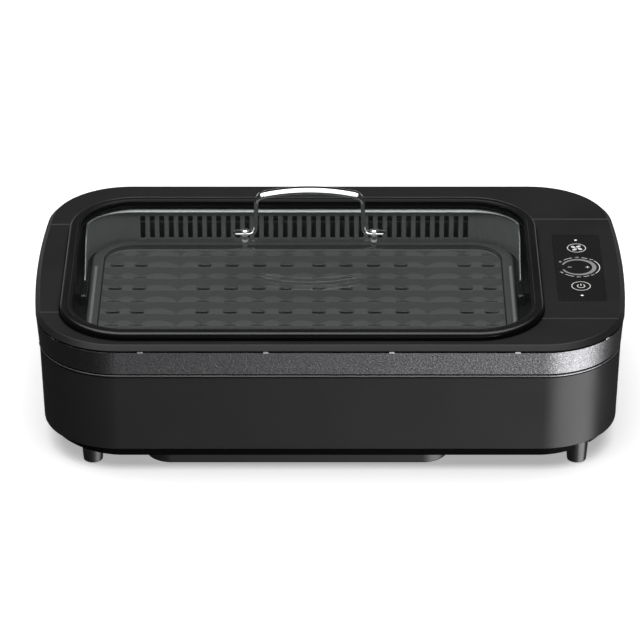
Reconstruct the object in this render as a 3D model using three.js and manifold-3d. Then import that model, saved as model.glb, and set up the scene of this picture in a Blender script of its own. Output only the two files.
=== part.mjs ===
// Smokeless indoor grill, in millimetres: +X to the right, +Y to the back, +Z up,
// with the origin on the table under the middle of the casing.
import * as THREE from 'three';
import { mergeVertices } from 'three/addons/utils/BufferGeometryUtils.js';
import Module from 'manifold-3d';

const wasm = await Module();
wasm.setup();

// Clearances
const fitGap = 0.3;
const cutOver = 3;

// Casing outline, seen from above
const bodyWidth = 540;
const bodyDepth = 328.2;
const bodyCornerRadius = 76;
const sideTilt = THREE.MathUtils.degToRad(5.4);

// Casing wall and its levels, from the table up
const footHeight = 11.5;
const coverHeight = 10.9;
const coverInset = 13;
const casingHeight = 76.3;
const casingBottomInset = 5;
const casingTopInset = 2.8;
const casingWall = 2.5;
const flangeReach = 10.5;
const tongueHeight = 5;
const tongueThickness = 2;
const tongueInset = 6.6;
const bandHeight = 25.4;
const bandTopInset = 0.3;
const bandBottomInset = 2.4;
const bandThickness = 1.2;
const chamfer = 4.5;
const skinThickness = 2.5;
const panelSkirtTopInset = 0.6;
const panelSkirtBottomInset = 2.6;

// Seams between the four top panels: distances from the front and back of the casing
const leftSeamFrontMargin = 66.3;
const leftSeamBackMargin = 85.6;
const rightSeamFrontMargin = 54.3;
const rightSeamBackMargin = 74.7;

// Opening that the lid drops into, and the ledge that carries the lid
const surroundLeft = 25.5;
const surroundRight = 76.8;
const surroundFront = 12.1;
const surroundBack = 38.1;
const openingRadius = 62;
const openingWall = 2.2;
const ledgeDrop = 8.5;
const ledgeWidth = 8;
const ledgeThickness = 2.2;
const deckDrop = 26;

// Smoke guard: a thin wall round the back with a rolled rim and tall slots
const guardSideMargin = 16.45;
const guardEndMargin = 9.1;
const guardRadius = 43;
const guardThickness = 1.6;
const guardRim = 3.4;
const guardRimHeight = 4;
const guardHeight = 33.4;
const guardEndTopReach = 32.9;
const guardEndFootReach = 85.9;
const slotPitch = 9.3;
const slotWidth = 5;
const slotHeight = 23.7;
const slotSill = 5.4;

// Grill plate
const plateGap = 0.5;
const plateThickness = 4.2;
const fieldDrop = 1.2;
const fieldFrontMargin = 12;
const fieldBackMargin = 13;
const fieldSideMargin = 11;
const fieldRadius = 26;
const rowPitch = 23;
const lastRowMargin = 17.3;
const firstRowMargin = 2;
const padHeight = 1.9;
const padDepth = 12.7;
const padValleyDepth = 5.2;
const padEndMargin = 15.5;
const drainWidth = 12;
const drainDepth = 4;
const valleyShares = [0.0872, 0.2326, 0.3808, 0.5291, 0.6628, 0.8721];
const drainShares = [0.0872, 0.2326, 0.3808, 0.5291, 0.8721];
const beadOffset = 5.5;
const beadRadius = 1.4;
const beadFrontMargin = 75;
const beadBackMargin = 55;

// Steel liner of the cooking cavity
const sheet = 1;
const lowerSideInset = 26;
const lowerFrontInset = 15.5;
const lowerBackInset = 26;
const lowerRadius = 34;
const floorDrop = 36;
const floorFall = 7;
const floorLip = 5;
const linerInset = 8.6;
const linerFlangeInset = 0.4;
const windowSideMargin = 62;
const windowSill = 5;
const windowHeight = 19;

// Water tray and the well that it stands in
const trayLeftMargin = 83.5;
const trayRightMargin = 92.2;
const trayFrontMargin = 17.6;
const trayBackMargin = 29.9;
const trayRadius = 18;
const trayHeight = 37.6;
const trayWall = 1.8;
const trayRim = 3;
const trayRimHeight = 2;
const trayDraft = 4;
const trayMouthGap = 1;
const wellFloorHeight = 3;
const wellWall = 2.5;
const wellSideGap = 6.15;
const wellFrontGap = 15.5;
const wellBackGap = 7.9;
const wellRadius = 24;

// Lid
const glassThickness = 4;
const glassDrop = 1.5;
const glassInset = 6.6;
const rimGap = 0.5;
const rimWidth = 11.4;
const rimHeight = 15;
const rimFootWidth = 2.8;
const rimCrestInset = 5;
const rimCrestDrop = 4.8;
const rimJawThickness = 1.7;
const rimFootHeight = 2.8;

// Handle: a bent rod with flattened feet and a broad grip
const handleShift = 6.45;
const handleBackMargin = 81;
const handleRise = 49.7;
const handleScrewSpacing = 120;
const handleFootReach = 11;
const handleLegSpacing = 100.6;
const handleTopSpacing = 98.4;
const handleRodRadius = 2;
const handleFootBend = 5;
const handleTopBend = 13;
const gripHalfWidth = 3.5;
const gripArch = 1.6;
const tabHalfWidth = 4.4;
const tabHalfThickness = 1.2;
const washerThickness = 1;
const washerRadius = 5;
const screwRadius = 2;
const screwHeadRadius = 3.9;
const screwHeadHeight = 2.2;
const nutRadius = 4;
const nutHeight = 3.2;
const screwTail = 2;

// Heating element and its connector
const tubeRadius = 3.25;
const tubeBend = 28;
const elementLeftMargin = 26.5;
const elementRightMargin = 49.2;
const elementInnerMargin = 85.2;
const elementFrontMargin = 28.5;
const elementBackMargin = 16;
const terminalSpacing = 24;
const terminalWidth = 17;
const terminalLength = 44;
const terminalHeight = 10;
const socketWidth = 19;
const socketHeight = 20;
const socketGap = 2;
const pinRadius = 2.5;
const pinLength = 24;
const pinSeat = 5;
const clampShares = [0.55, 0.3, 0.3, 0.55];
const clampWidth = 9;
const clampSheet = 1;
const clampFoot = 7;

// Plate latches
const latchGuardGap = 9.5;
const latchLength = 32;
const latchDepth = 6.5;
const latchHeight = 9.8;
const latchNose = 2;
const latchTailLength = 16;
const latchTailHeight = 6;
const latchTailLift = 1.8;
const latchStopLength = 24;
const latchStopThickness = 2;

// Control panel
const overlayLeftMargin = 14.3;
const overlayRightMargin = 19.8;
const overlayFrontMargin = 89.6;
const overlayBackMargin = 108.6;
const overlayThickness = 0.8;
const overlayRadius = 2;
const lightRadius = 1.2;
const lightProud = 0.1;
const lightMargin = 9.6;
const boardThickness = 1.6;
const boardMargin = 3;
const boardPostRadius = 2.5;
const boardPostLength = 6;
const chipWidth = 14;
const chipHeight = 2;

// Fan, its scroll, its motor and the smoke duct
const fanSideMargin = 48;
const fanBackMargin = 124.1;
const impellerRadius = 28;
const impellerInnerRadius = 20;
const impellerHeight = 25;
const impellerHubRadius = 7;
const impellerDisc = 1.5;
const bladeCount = 14;
const bladeThickness = 1.2;
const bladeLean = THREE.MathUtils.degToRad(27);
const shaftRadius = 2.5;
const shaftDepth = 12;
const scrollBottom = 44.3;
const scrollHeight = 36.4;
const scrollWall = 1.8;
const scrollStartRadius = 31.5;
const scrollEndRadius = 40;
const scrollTongueAngle = THREE.MathUtils.degToRad(110);
const scrollOutletMargin = 10.9;
const scrollInletRadius = 20;
const shaftHoleRadius = 5;
const motorRadius = 17;
const motorHeight = 20;
const fanPostRadius = 4;
const fanPostReach = 29;
const fanPostTurns = [60, 180, 300];
const ductHeight = 32;
const ductWall = 1.5;
const ductLeftMargin = 52.5;
const ductBackMargin = 14.1;
const ductBend = 80;
const ductCornerSide = 44;
const ductCornerBack = 34.1;
const ductRightMargin = 23;
const ductShoulder = 60.1;
const ductInnerGap = 2.8;
const ductFrontReach = 28;

// Air outlet slots and mains inlet in the back of the casing
const outletSlotCount = 5;
const outletSlotHeight = 3.6;
const outletSlotPitch = 6.4;
const inletSideMargin = 150;
const inletZ = 50;
const inletWidth = 30;
const inletHeight = 22;
const inletDepth = 26;
const inletFlange = 2.4;
const inletFlangeThickness = 1.4;
const inletWallThickness = 3;
const inletPinWidth = 4;
const inletPinThickness = 2;
const inletPinLength = 18;
const inletPinSpacing = 7;
const inletPinLift = 2;

// Power board and its posts
const powerBoardSideMargin = 53;
const powerBoardFrontMargin = 98.1;
const powerBoardWidth = 52;
const powerBoardDepth = 70;
const powerBoardPost = 14;
const relayWidth = 20;
const relayMargin = 5;
const relayHeight = 16;
const capacitorRadius = 6;
const capacitorHeight = 20;
const capacitorPitch = 18;
const heatSinkThickness = 6;
const heatSinkLength = 40;
const heatSinkHeight = 24;

// Feet and the screws inside them
const footLeftInset = 22.04;
const footLeftAngle = THREE.MathUtils.degToRad(62.6);
const footRightInset = 17.58;
const footRightAngle = THREE.MathUtils.degToRad(55.1);
const footTopRadius = 10;
const footSocketRadius = 10.4;
const footBottomRadius = 8.5;
const footBoreRadius = 4.6;
const footWeb = 6;
const footScrewRadius = 1.9;
const footScrewHeadRadius = 3.8;
const footScrewHeadHeight = 2.4;
const footScrewLength = 28;
const bossRadius = 4.6;
const bossHeight = 15;
const earRadius = 10.1;

// Facets
const casingSteps = 6;
const cornerSteps = 5;
const sideSteps = 4;
const roundSides = 16;
const footSides = 10;
const smallSides = 8;
const rodSides = 8;
const tubeSides = 6;
const bendSteps = 3;
const curveSteps = 5;
const domeSteps = 4;
const crestSteps = 4;
const capSteps = 3;
const lipSteps = 2;
const nutSides = 6;

// Levels worked out from the sizes above
const coverBottom = footHeight;
const casingBottom = coverBottom + coverHeight + fitGap;
const casingTop = casingBottom + casingHeight;
const bandBottom = casingTop + fitGap;
const bandTop = bandBottom + bandHeight;
const panelEdge = bandTop + fitGap;
const panelTop = panelEdge + chamfer;
const panelUnderside = panelTop - skinThickness;
const ledgeTop = panelTop - ledgeDrop;
const ledgeUnderside = ledgeTop - ledgeThickness;
const linerTop = ledgeUnderside - fitGap;
const shelfTop = ledgeTop - deckDrop - plateThickness - fitGap;
const plateBottom = shelfTop + fitGap;
const plateTop = plateBottom + plateThickness;
const guardFoot = shelfTop + fitGap;
const guardTop = guardFoot + guardHeight;
const floorHigh = shelfTop - floorDrop;
const floorLow = floorHigh - floorFall;
const wellFloorTop = wellFloorHeight + wellWall;
const trayBottom = wellFloorTop + fitGap;
const coverFloorTop = coverBottom + casingWall;
const coverTop = coverBottom + coverHeight;
const rimFoot = ledgeTop + fitGap;
const rimTop = rimFoot + rimHeight;
const glassTop = rimTop - glassDrop;
const glassBottom = glassTop - glassThickness;
const tabCentre = glassTop + fitGap + washerThickness + fitGap + tabHalfThickness;
const tubeCentre = plateBottom - fitGap - tubeRadius;
const terminalBottom = plateBottom - fitGap - terminalHeight;
const socketTop = terminalBottom - socketGap;
const socketBottom = socketTop - socketHeight;
const motorTop = scrollBottom - fitGap;
const scrollTop = scrollBottom + scrollHeight;
const ductBottom = scrollTop + fitGap;

const grow = (shape, by) => ({
  left: shape.left - by,
  right: shape.right + by,
  front: shape.front - by,
  back: shape.back + by,
  radius: shape.radius + by,
});

// Places worked out from the casing: shapes are rectangles with round corners
const bodyLeft = -bodyWidth / 2;
const bodyRight = bodyWidth / 2;
const bodyFront = -bodyDepth / 2;
const bodyBack = bodyDepth / 2;
const leftSeamFront = bodyFront + leftSeamFrontMargin;
const leftSeamBack = bodyBack - leftSeamBackMargin;
const rightSeamFront = bodyFront + rightSeamFrontMargin;
const rightSeamBack = bodyBack - rightSeamBackMargin;
const opening = {
  left: bodyLeft + surroundLeft,
  right: bodyRight - surroundRight,
  front: bodyFront + surroundFront,
  back: bodyBack - surroundBack,
  radius: openingRadius,
};
const openingCentreX = (opening.left + opening.right) / 2;
const openingCentreY = (opening.front + opening.back) / 2;
const guardShape = {
  left: opening.left + guardSideMargin,
  right: opening.right - guardSideMargin,
  front: opening.front + guardEndMargin,
  back: opening.back - guardEndMargin,
  radius: guardRadius,
};
const plateShape = grow(guardShape, -guardRim - plateGap);
const trayShape = {
  left: opening.left + trayLeftMargin,
  right: opening.right - trayRightMargin,
  front: opening.front + trayFrontMargin,
  back: opening.back - trayBackMargin,
  radius: trayRadius,
};
const mouthShape = grow(trayShape, trayMouthGap);
const lowerShape = {
  left: opening.left + lowerSideInset,
  right: opening.right - lowerSideInset,
  front: opening.front + lowerFrontInset,
  back: opening.back - lowerBackInset,
  radius: lowerRadius,
};
const wellShape = {
  left: trayShape.left - wellSideGap,
  right: trayShape.right + wellSideGap,
  front: trayShape.front - wellFrontGap,
  back: trayShape.back + wellBackGap,
  radius: wellRadius,
};
const overlayShape = {
  left: opening.right + overlayLeftMargin,
  right: bodyRight - overlayRightMargin,
  front: bodyFront + overlayFrontMargin,
  back: bodyBack - overlayBackMargin,
  radius: overlayRadius,
};
const lightX = (overlayShape.left + overlayShape.right) / 2;
const fanLightY = overlayShape.back - lightMargin;
const powerLightY = overlayShape.front + lightMargin;
const handleCentreX = openingCentreX + handleShift;
const handleY = opening.back - handleBackMargin;
const guardEndTopY = guardShape.back - guardEndTopReach;
const guardEndFootY = guardShape.back - guardEndFootReach;
const latchCentreY = guardEndFootY - latchGuardGap - latchLength / 2;
const elementLeftX = lowerShape.left + elementLeftMargin;
const elementRightX = lowerShape.right - elementRightMargin;
const elementInnerX = lowerShape.right - elementInnerMargin;
const elementFrontY = lowerShape.front + elementFrontMargin;
const elementBackY = lowerShape.back - elementBackMargin;
const fanX = bodyRight - fanSideMargin;
const fanY = bodyBack - fanBackMargin;
const scrollOutletY = bodyBack - scrollOutletMargin;
const ductLeftX = opening.left + ductLeftMargin;
const ductBackY = bodyBack - ductBackMargin;
const ductBendX = bodyRight - ductBend;
const ductCornerX = bodyRight - ductCornerSide;
const ductCornerY = bodyBack - ductCornerBack;
const ductRightX = bodyRight - ductRightMargin;
const ductShoulderY = bodyBack - ductShoulder;
const ductInnerX = opening.right + ductInnerGap;
const ductFrontY = fanY - ductFrontReach;
const inletX = bodyRight - inletSideMargin;
const powerBoardX = bodyRight - powerBoardSideMargin;
const powerBoardY = bodyFront + powerBoardFrontMargin;

// Centres of the casing's corner arcs, and of the wide arcs of its sides
const casingCornerY = bodyBack - bodyCornerRadius;
const casingSideReach = casingCornerY / Math.sin(sideTilt);
const casingSideRadius = bodyCornerRadius + casingSideReach;
const casingSideX = bodyRight - casingSideRadius;
const casingCornerX = casingSideX + casingSideReach * Math.cos(sideTilt);

// Each foot stands in from its corner, at an angle round the corner's centre
const footPlace = (wayX, wayY, inset, angle) => [
  wayX * (casingCornerX + (bodyCornerRadius - inset) * Math.cos(angle)),
  wayY * (casingCornerY + (bodyCornerRadius - inset) * Math.sin(angle)),
];

function arcPoints(x, y, radius, start, end, steps) {
  const points = [];
  for (let i = 0; i <= steps; i++) {
    const angle = start + ((end - start) * i) / steps;
    points.push(new THREE.Vector2(x + radius * Math.cos(angle), y + radius * Math.sin(angle)));
  }
  return points;
}

// Counter-clockwise from the front right corner
function roundedOutline(shape, steps = cornerSteps) {
  const { left, right, front, back, radius } = shape;
  const quarter = Math.PI / 2;
  return [
    ...arcPoints(right - radius, front + radius, radius, -quarter, 0, steps),
    ...arcPoints(right - radius, back - radius, radius, 0, quarter, steps),
    ...arcPoints(left + radius, back - radius, radius, quarter, 2 * quarter, steps),
    ...arcPoints(left + radius, front + radius, radius, 2 * quarter, 3 * quarter, steps),
  ];
}

// The casing is straight along the front and back, with wide corners that run
// into gently bowed sides.
function casingOutline(inset) {
  const radius = bodyCornerRadius - inset;
  const sideRadius = casingSideRadius - inset;
  const right = [
    ...arcPoints(casingCornerX, -casingCornerY, radius, -Math.PI / 2, -sideTilt, casingSteps),
    ...arcPoints(casingSideX, 0, sideRadius, -sideTilt, sideTilt, sideSteps).slice(1, -1),
    ...arcPoints(casingCornerX, casingCornerY, radius, sideTilt, Math.PI / 2, casingSteps),
  ];
  return [...right, ...right.map((point) => point.clone().negate())];
}

// Solid of a geometry, with shared vertices merged and faces turned outwards
function solidOf(geometry) {
  const bare = geometry.clone();
  bare.deleteAttribute('normal');
  bare.deleteAttribute('uv');
  const merged = mergeVertices(bare);
  const position = merged.attributes.position;
  const corners = [];
  let volume = 0;
  const a = new THREE.Vector3();
  const b = new THREE.Vector3();
  const c = new THREE.Vector3();
  for (let i = 0; i < merged.index.count; i += 3) {
    const [p, q, r] = [0, 1, 2].map((k) => merged.index.getX(i + k));
    if (p === q || q === r || r === p) continue;
    a.fromBufferAttribute(position, p);
    b.fromBufferAttribute(position, q);
    c.fromBufferAttribute(position, r);
    volume += a.dot(b.cross(c));
    corners.push([p, q, r]);
  }
  const outward = volume > 0 ? corners : corners.map(([p, q, r]) => [p, r, q]);
  return new wasm.Manifold(new wasm.Mesh({
    numProp: 3,
    vertProperties: new Float32Array(position.array),
    triVerts: new Uint32Array(outward.flat()),
  }));
}

function geometryOf(solid) {
  const mesh = solid.getMesh();
  const geometry = new THREE.BufferGeometry();
  geometry.setAttribute('position', new THREE.BufferAttribute(mesh.vertProperties, 3));
  geometry.setIndex(new THREE.BufferAttribute(mesh.triVerts, 1));
  geometry.computeVertexNormals();
  return geometry;
}

// Band of faces through a list of rings with the same number of points
function skin(rings, closed) {
  const count = rings[0].length;
  const triangles = [];
  const last = closed ? rings.length : rings.length - 1;
  for (let j = 0; j < last; j++) {
    const next = (j + 1) % rings.length;
    for (let i = 0; i < count; i++) {
      const k = (i + 1) % count;
      triangles.push(j * count + i, j * count + k, next * count + k);
      triangles.push(j * count + i, next * count + k, next * count + i);
    }
  }
  return triangles;
}

function meshOf(rings, triangles) {
  const geometry = new THREE.BufferGeometry();
  const values = rings.flat().flatMap((point) => [point.x, point.y, point.z]);
  geometry.setAttribute('position', new THREE.Float32BufferAttribute(values, 3));
  geometry.setIndex(triangles);
  return geometry;
}

const atHeight = (outline, z) => outline.map((point) => new THREE.Vector3(point.x, point.y, z));

// Hollow frame: a section of [outline, height] pairs, closed on itself
function frameOf(section) {
  const rings = section.map(([outline, z]) => atHeight(outline, z));
  return solidOf(meshOf(rings, skin(rings, true)));
}

// Solid between outlines at rising heights, closed at both ends
function loft(section) {
  const rings = section.map(([outline, z]) => atHeight(outline, z));
  return cappedSolid(rings, section[0][0]);
}

function cappedSolid(rings, flatRing) {
  const triangles = skin(rings, false);
  const offset = (rings.length - 1) * rings[0].length;
  for (const [p, q, r] of THREE.ShapeUtils.triangulateShape(flatRing, [])) {
    triangles.push(r, q, p, offset + p, offset + q, offset + r);
  }
  return solidOf(meshOf(rings, triangles));
}

const prism = (outline, bottom, top) => loft([[outline, bottom], [outline, top]]);

function block(left, right, front, back, bottom, top) {
  const geometry = new THREE.BoxGeometry(right - left, back - front, top - bottom);
  geometry.translate((left + right) / 2, (front + back) / 2, (bottom + top) / 2);
  return solidOf(geometry);
}

function post(x, y, radius, bottom, top, sides = smallSides) {
  const geometry = new THREE.CylinderGeometry(radius, radius, top - bottom, sides);
  geometry.rotateX(Math.PI / 2);
  geometry.translate(x, y, (bottom + top) / 2);
  return solidOf(geometry);
}

// Turned piece: a closed profile of [radius, height] pairs about the Z axis
function turned(profile, sides = roundSides) {
  const points = profile.map(([radius, z]) => new THREE.Vector2(radius, z));
  const geometry = new THREE.LatheGeometry([...points, points[0]], sides);
  geometry.rotateX(Math.PI / 2);
  return solidOf(geometry);
}

// Shape in the YZ plane, pushed along X
function crosswise(outline, left, right) {
  const rings = [left, right].map((x) => outline.map((p) => new THREE.Vector3(x, p.x, p.y)));
  return cappedSolid(rings, outline);
}

// Rod along a flat path whose normal is given; each point has its two half widths
function rodAlong(path, normal, halfWidths, sides) {
  const rings = path.map((point, i) => {
    const before = path[Math.max(i - 1, 0)];
    const after = path[Math.min(i + 1, path.length - 1)];
    const forward = after.clone().sub(before).normalize();
    const across = new THREE.Vector3().crossVectors(normal, forward).normalize();
    const [alongNormal, alongAcross] = halfWidths(i);
    return Array.from({ length: sides }, (_, k) => {
      const angle = (2 * Math.PI * (k + 0.5)) / sides;
      return point.clone()
        .addScaledVector(normal, alongNormal * Math.cos(angle))
        .addScaledVector(across, alongAcross * Math.sin(angle));
    });
  });
  const flat = Array.from({ length: sides }, (_, k) => {
    const angle = (2 * Math.PI * (k + 0.5)) / sides;
    return new THREE.Vector2(Math.cos(angle), Math.sin(angle));
  });
  return cappedSolid(rings, flat);
}

// Corners of a flat path rounded by arcs, no wider than the legs beside them
function rounded(path, radius, steps) {
  const points = [path[0]];
  for (let i = 1; i < path.length - 1; i++) {
    const toBefore = path[i - 1].clone().sub(path[i]);
    const toAfter = path[i + 1].clone().sub(path[i]);
    const reach = Math.min(radius, toBefore.length() / 2, toAfter.length() / 2);
    const start = path[i].clone().addScaledVector(toBefore.normalize(), reach);
    const end = path[i].clone().addScaledVector(toAfter.normalize(), reach);
    const curve = new THREE.QuadraticBezierCurve3(start, path[i], end);
    points.push(...curve.getPoints(steps));
  }
  points.push(path[path.length - 1]);
  return points;
}

const union = (solids) => solids.reduce((sum, solid) => sum.add(solid));

const feet = [
  ['front_left', ...footPlace(-1, -1, footLeftInset, footLeftAngle)],
  ['front_right', ...footPlace(1, -1, footRightInset, footRightAngle)],
  ['rear_left', ...footPlace(-1, 1, footLeftInset, footLeftAngle)],
  ['rear_right', ...footPlace(1, 1, footRightInset, footRightAngle)],
];
const insetAt = (z) => casingBottomInset
  + ((casingTopInset - casingBottomInset) * (z - casingBottom)) / casingHeight;
const linerFaceInset = linerInset - sheet;

// Casing shell: drafted wall, a foot flange and a tongue that centres the top panels
function makeCasing() {
  const innerFoot = casingBottomInset + casingWall;
  const shell = frameOf([
    [casingOutline(casingBottomInset), casingBottom],
    [casingOutline(casingTopInset), casingTop],
    [casingOutline(tongueInset), casingTop],
    [casingOutline(tongueInset), casingTop + tongueHeight],
    [casingOutline(tongueInset + tongueThickness), casingTop + tongueHeight],
    [casingOutline(tongueInset + tongueThickness), casingTop - tongueThickness],
    [casingOutline(casingTopInset + casingWall), casingTop - tongueThickness],
    [casingOutline(innerFoot), casingBottom + casingWall],
    [casingOutline(casingBottomInset + flangeReach), casingBottom + casingWall],
    [casingOutline(casingBottomInset + flangeReach), casingBottom],
  ]);
  const ears = feet.map(([, x, y]) => post(x, y, earRadius, casingBottom,
    casingBottom + casingWall));
  const bosses = feet.map(([, x, y]) => post(x, y, bossRadius, casingBottom,
    casingBottom + bossHeight));
  const pilots = feet.map(([, x, y]) => post(x, y, footScrewRadius + fitGap,
    casingBottom - cutOver, casingBottom + bossHeight + cutOver));
  const outlet = [];
  const outletLeft = fanX - scrollEndRadius + scrollWall;
  const outletRight = fanX + scrollStartRadius * Math.cos(scrollTongueAngle) - scrollWall;
  const outletMiddle = scrollBottom + scrollHeight / 2;
  for (let i = 0; i < outletSlotCount; i++) {
    const z = outletMiddle + (i - (outletSlotCount - 1) / 2) * outletSlotPitch;
    outlet.push(block(outletLeft, outletRight, scrollOutletY - cutOver, bodyDepth / 2,
      z - outletSlotHeight / 2, z + outletSlotHeight / 2));
  }
  const inletHole = block(inletX - inletWidth / 2 - fitGap, inletX + inletWidth / 2 + fitGap,
    bodyDepth / 2 - 2 * casingBottomInset - casingWall, bodyDepth / 2,
    inletZ - inletHeight / 2 - fitGap, inletZ + inletHeight / 2 + fitGap);
  return shell.add(union([...ears, ...bosses]))
    .subtract(union(pilots)).subtract(union(outlet)).subtract(inletHole);
}

// Bottom cover: a shallow pan set in from the wall, with a socket over each foot and
// the walls of the well that holds the water tray
function makeCover() {
  const floorInset = coverInset + casingWall;
  const pan = prism(casingOutline(coverInset), coverBottom, coverTop)
    .subtract(prism(casingOutline(floorInset), coverFloorTop, coverTop + cutOver));
  const wellFoot = wellFloorTop + fitGap;
  const well = prism(roundedOutline(wellShape), wellFoot, coverFloorTop);
  const hollow = prism(roundedOutline(grow(wellShape, -wellWall)), wellFoot - cutOver,
    coverTop + cutOver);
  const sockets = feet.map(([, x, y]) => post(x, y, footSocketRadius, coverBottom, coverTop,
    footSides));
  const holes = feet.map(([, x, y]) => post(x, y, footScrewRadius + fitGap,
    coverBottom - cutOver, coverTop + cutOver));
  const fanPosts = fanPostTurns.map(THREE.MathUtils.degToRad).map((turn) => post(
    fanX + fanPostReach * Math.cos(turn), fanY + fanPostReach * Math.sin(turn),
    fanPostRadius, coverBottom, scrollBottom - fitGap));
  const boardPosts = [-1, 1].flatMap((i) => [-1, 1].map((j) => post(
    powerBoardX + i * (powerBoardWidth / 2 - fanPostRadius),
    powerBoardY + j * (powerBoardDepth / 2 - fanPostRadius),
    fanPostRadius, coverBottom, coverFloorTop + powerBoardPost)));
  const vents = Array.from({ length: outletSlotCount }, (_, i) => {
    const y = fanY + (i - (outletSlotCount - 1) / 2) * outletSlotPitch;
    return block(fanX - motorRadius, fanX + motorRadius, y - outletSlotHeight / 2,
      y + outletSlotHeight / 2, coverBottom - cutOver, coverFloorTop + cutOver);
  });
  return pan.add(well).subtract(hollow)
    .add(union([...sockets, ...fanPosts, ...boardPosts]))
    .subtract(union([...holes, ...vents]));
}

// Flat floor under the walls of the well
const makeWellFloor = () => prism(roundedOutline(wellShape), wellFloorHeight, wellFloorTop);

// One moulding is drawn for the whole top, then parted at the seams
function makeTopFrame() {
  const hollowInset = bandTopInset + bandThickness + fitGap + skinThickness;
  const lid = loft([[casingOutline(0), panelEdge], [casingOutline(chamfer), panelTop]]);
  const hollow = prism(casingOutline(hollowInset), panelEdge - cutOver, panelUnderside);
  const hole = prism(roundedOutline(opening), panelEdge - cutOver, panelTop + cutOver);
  const recess = frameOf([
    [roundedOutline(grow(opening, openingWall)), ledgeUnderside],
    [roundedOutline(grow(opening, openingWall)), panelTop],
    [roundedOutline(opening), panelTop],
    [roundedOutline(opening), ledgeTop],
    [roundedOutline(grow(opening, -ledgeWidth)), ledgeTop],
    [roundedOutline(grow(opening, -ledgeWidth)), ledgeUnderside],
  ]);
  return lid.subtract(hollow).subtract(hole).add(recess);
}

function makeSkirt(topInset, bottomInset) {
  const top = panelEdge + topInset / 2;
  return frameOf([
    [casingOutline(bottomInset), bandBottom],
    [casingOutline(topInset), top],
    [casingOutline(topInset + skinThickness), top],
    [casingOutline(bottomInset + skinThickness), bandBottom],
  ]);
}

function makeTopPanels() {
  const top = makeTopFrame();
  const frontInset = bandThickness + fitGap;
  const innerSkirt = makeSkirt(bandTopInset + frontInset, bandBottomInset + frontInset);
  const outerSkirt = makeSkirt(panelSkirtTopInset, panelSkirtBottomInset);
  const seam = fitGap / 2;
  const side = bodyWidth;
  const low = bandBottom - cutOver;
  const high = panelTop + cutOver;
  const middle = openingCentreX;
  const left = block(-side, middle, leftSeamFront + seam, leftSeamBack - seam, low, high);
  const right = block(middle, side, rightSeamFront + seam, rightSeamBack - seam, low, high);
  const front = block(-side, middle, -side, leftSeamFront - seam, low, high)
    .add(block(middle - cutOver, side, -side, rightSeamFront - seam, low, high));
  const back = block(-side, middle, leftSeamBack + seam, side, low, high)
    .add(block(middle - cutOver, side, rightSeamBack + seam, side, low, high));
  const outer = top.add(outerSkirt);
  return {
    front: top.add(innerSkirt).intersect(front),
    back: outer.intersect(back),
    left: outer.intersect(left),
    right: outer.intersect(right),
  };
}

// Metal trim band round the front, held by small tabs bent over its upper edge
function makeBand() {
  const seam = fitGap / 2;
  const band = frameOf([
    [casingOutline(bandBottomInset), bandBottom],
    [casingOutline(bandTopInset), bandTop],
    [casingOutline(bandTopInset + bandThickness), bandTop],
    [casingOutline(bandBottomInset + bandThickness), bandBottom],
  ]);
  const keep = block(-bodyWidth, openingCentreX, -bodyWidth, leftSeamFront - seam,
    bandBottom - cutOver, bandTop + cutOver)
    .add(block(openingCentreX - cutOver, bodyWidth, -bodyWidth, rightSeamFront - seam,
      bandBottom - cutOver, bandTop + cutOver));
  return band.intersect(keep);
}

function makeControlPanel(panel) {
  const pocketShape = grow(overlayShape, fitGap);
  const pocket = block(pocketShape.left, pocketShape.right, pocketShape.front, pocketShape.back,
    panelTop - overlayThickness - fitGap, panelTop + cutOver);
  const board = boardArea();
  const posts = [board.left, board.right].flatMap((x, i) => [board.front, board.back]
    .map((y, j) => post(x + (i ? -1 : 1) * boardPostRadius, y + (j ? -1 : 1) * boardPostRadius,
      boardPostRadius, panelUnderside - boardPostLength, panelUnderside + skinThickness / 2)));
  return panel.subtract(pocket).add(union(posts).subtract(pocket));
}

const boardArea = () => grow(overlayShape, boardMargin);

function makeOverlay() {
  const sheetSolid = prism(roundedOutline(overlayShape, lipSteps), panelTop - overlayThickness, panelTop);
  const holes = [fanLightY, powerLightY].map((y) => post(lightX, y, lightRadius + fitGap,
    panelTop - overlayThickness - cutOver, panelTop + cutOver));
  return sheetSolid.subtract(union(holes));
}

function makeControlBoard() {
  const area = boardArea();
  const top = panelUnderside - boardPostLength - fitGap;
  const bottom = top - boardThickness;
  const board = block(area.left, area.right, area.front, area.back, bottom, top);
  const chipY = (area.front + area.back) / 2;
  const chip = block(lightX - chipWidth / 2, lightX + chipWidth / 2,
    chipY - chipWidth / 2, chipY + chipWidth / 2, bottom - chipHeight, bottom + boardThickness / 2);
  return board.add(chip);
}

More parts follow.
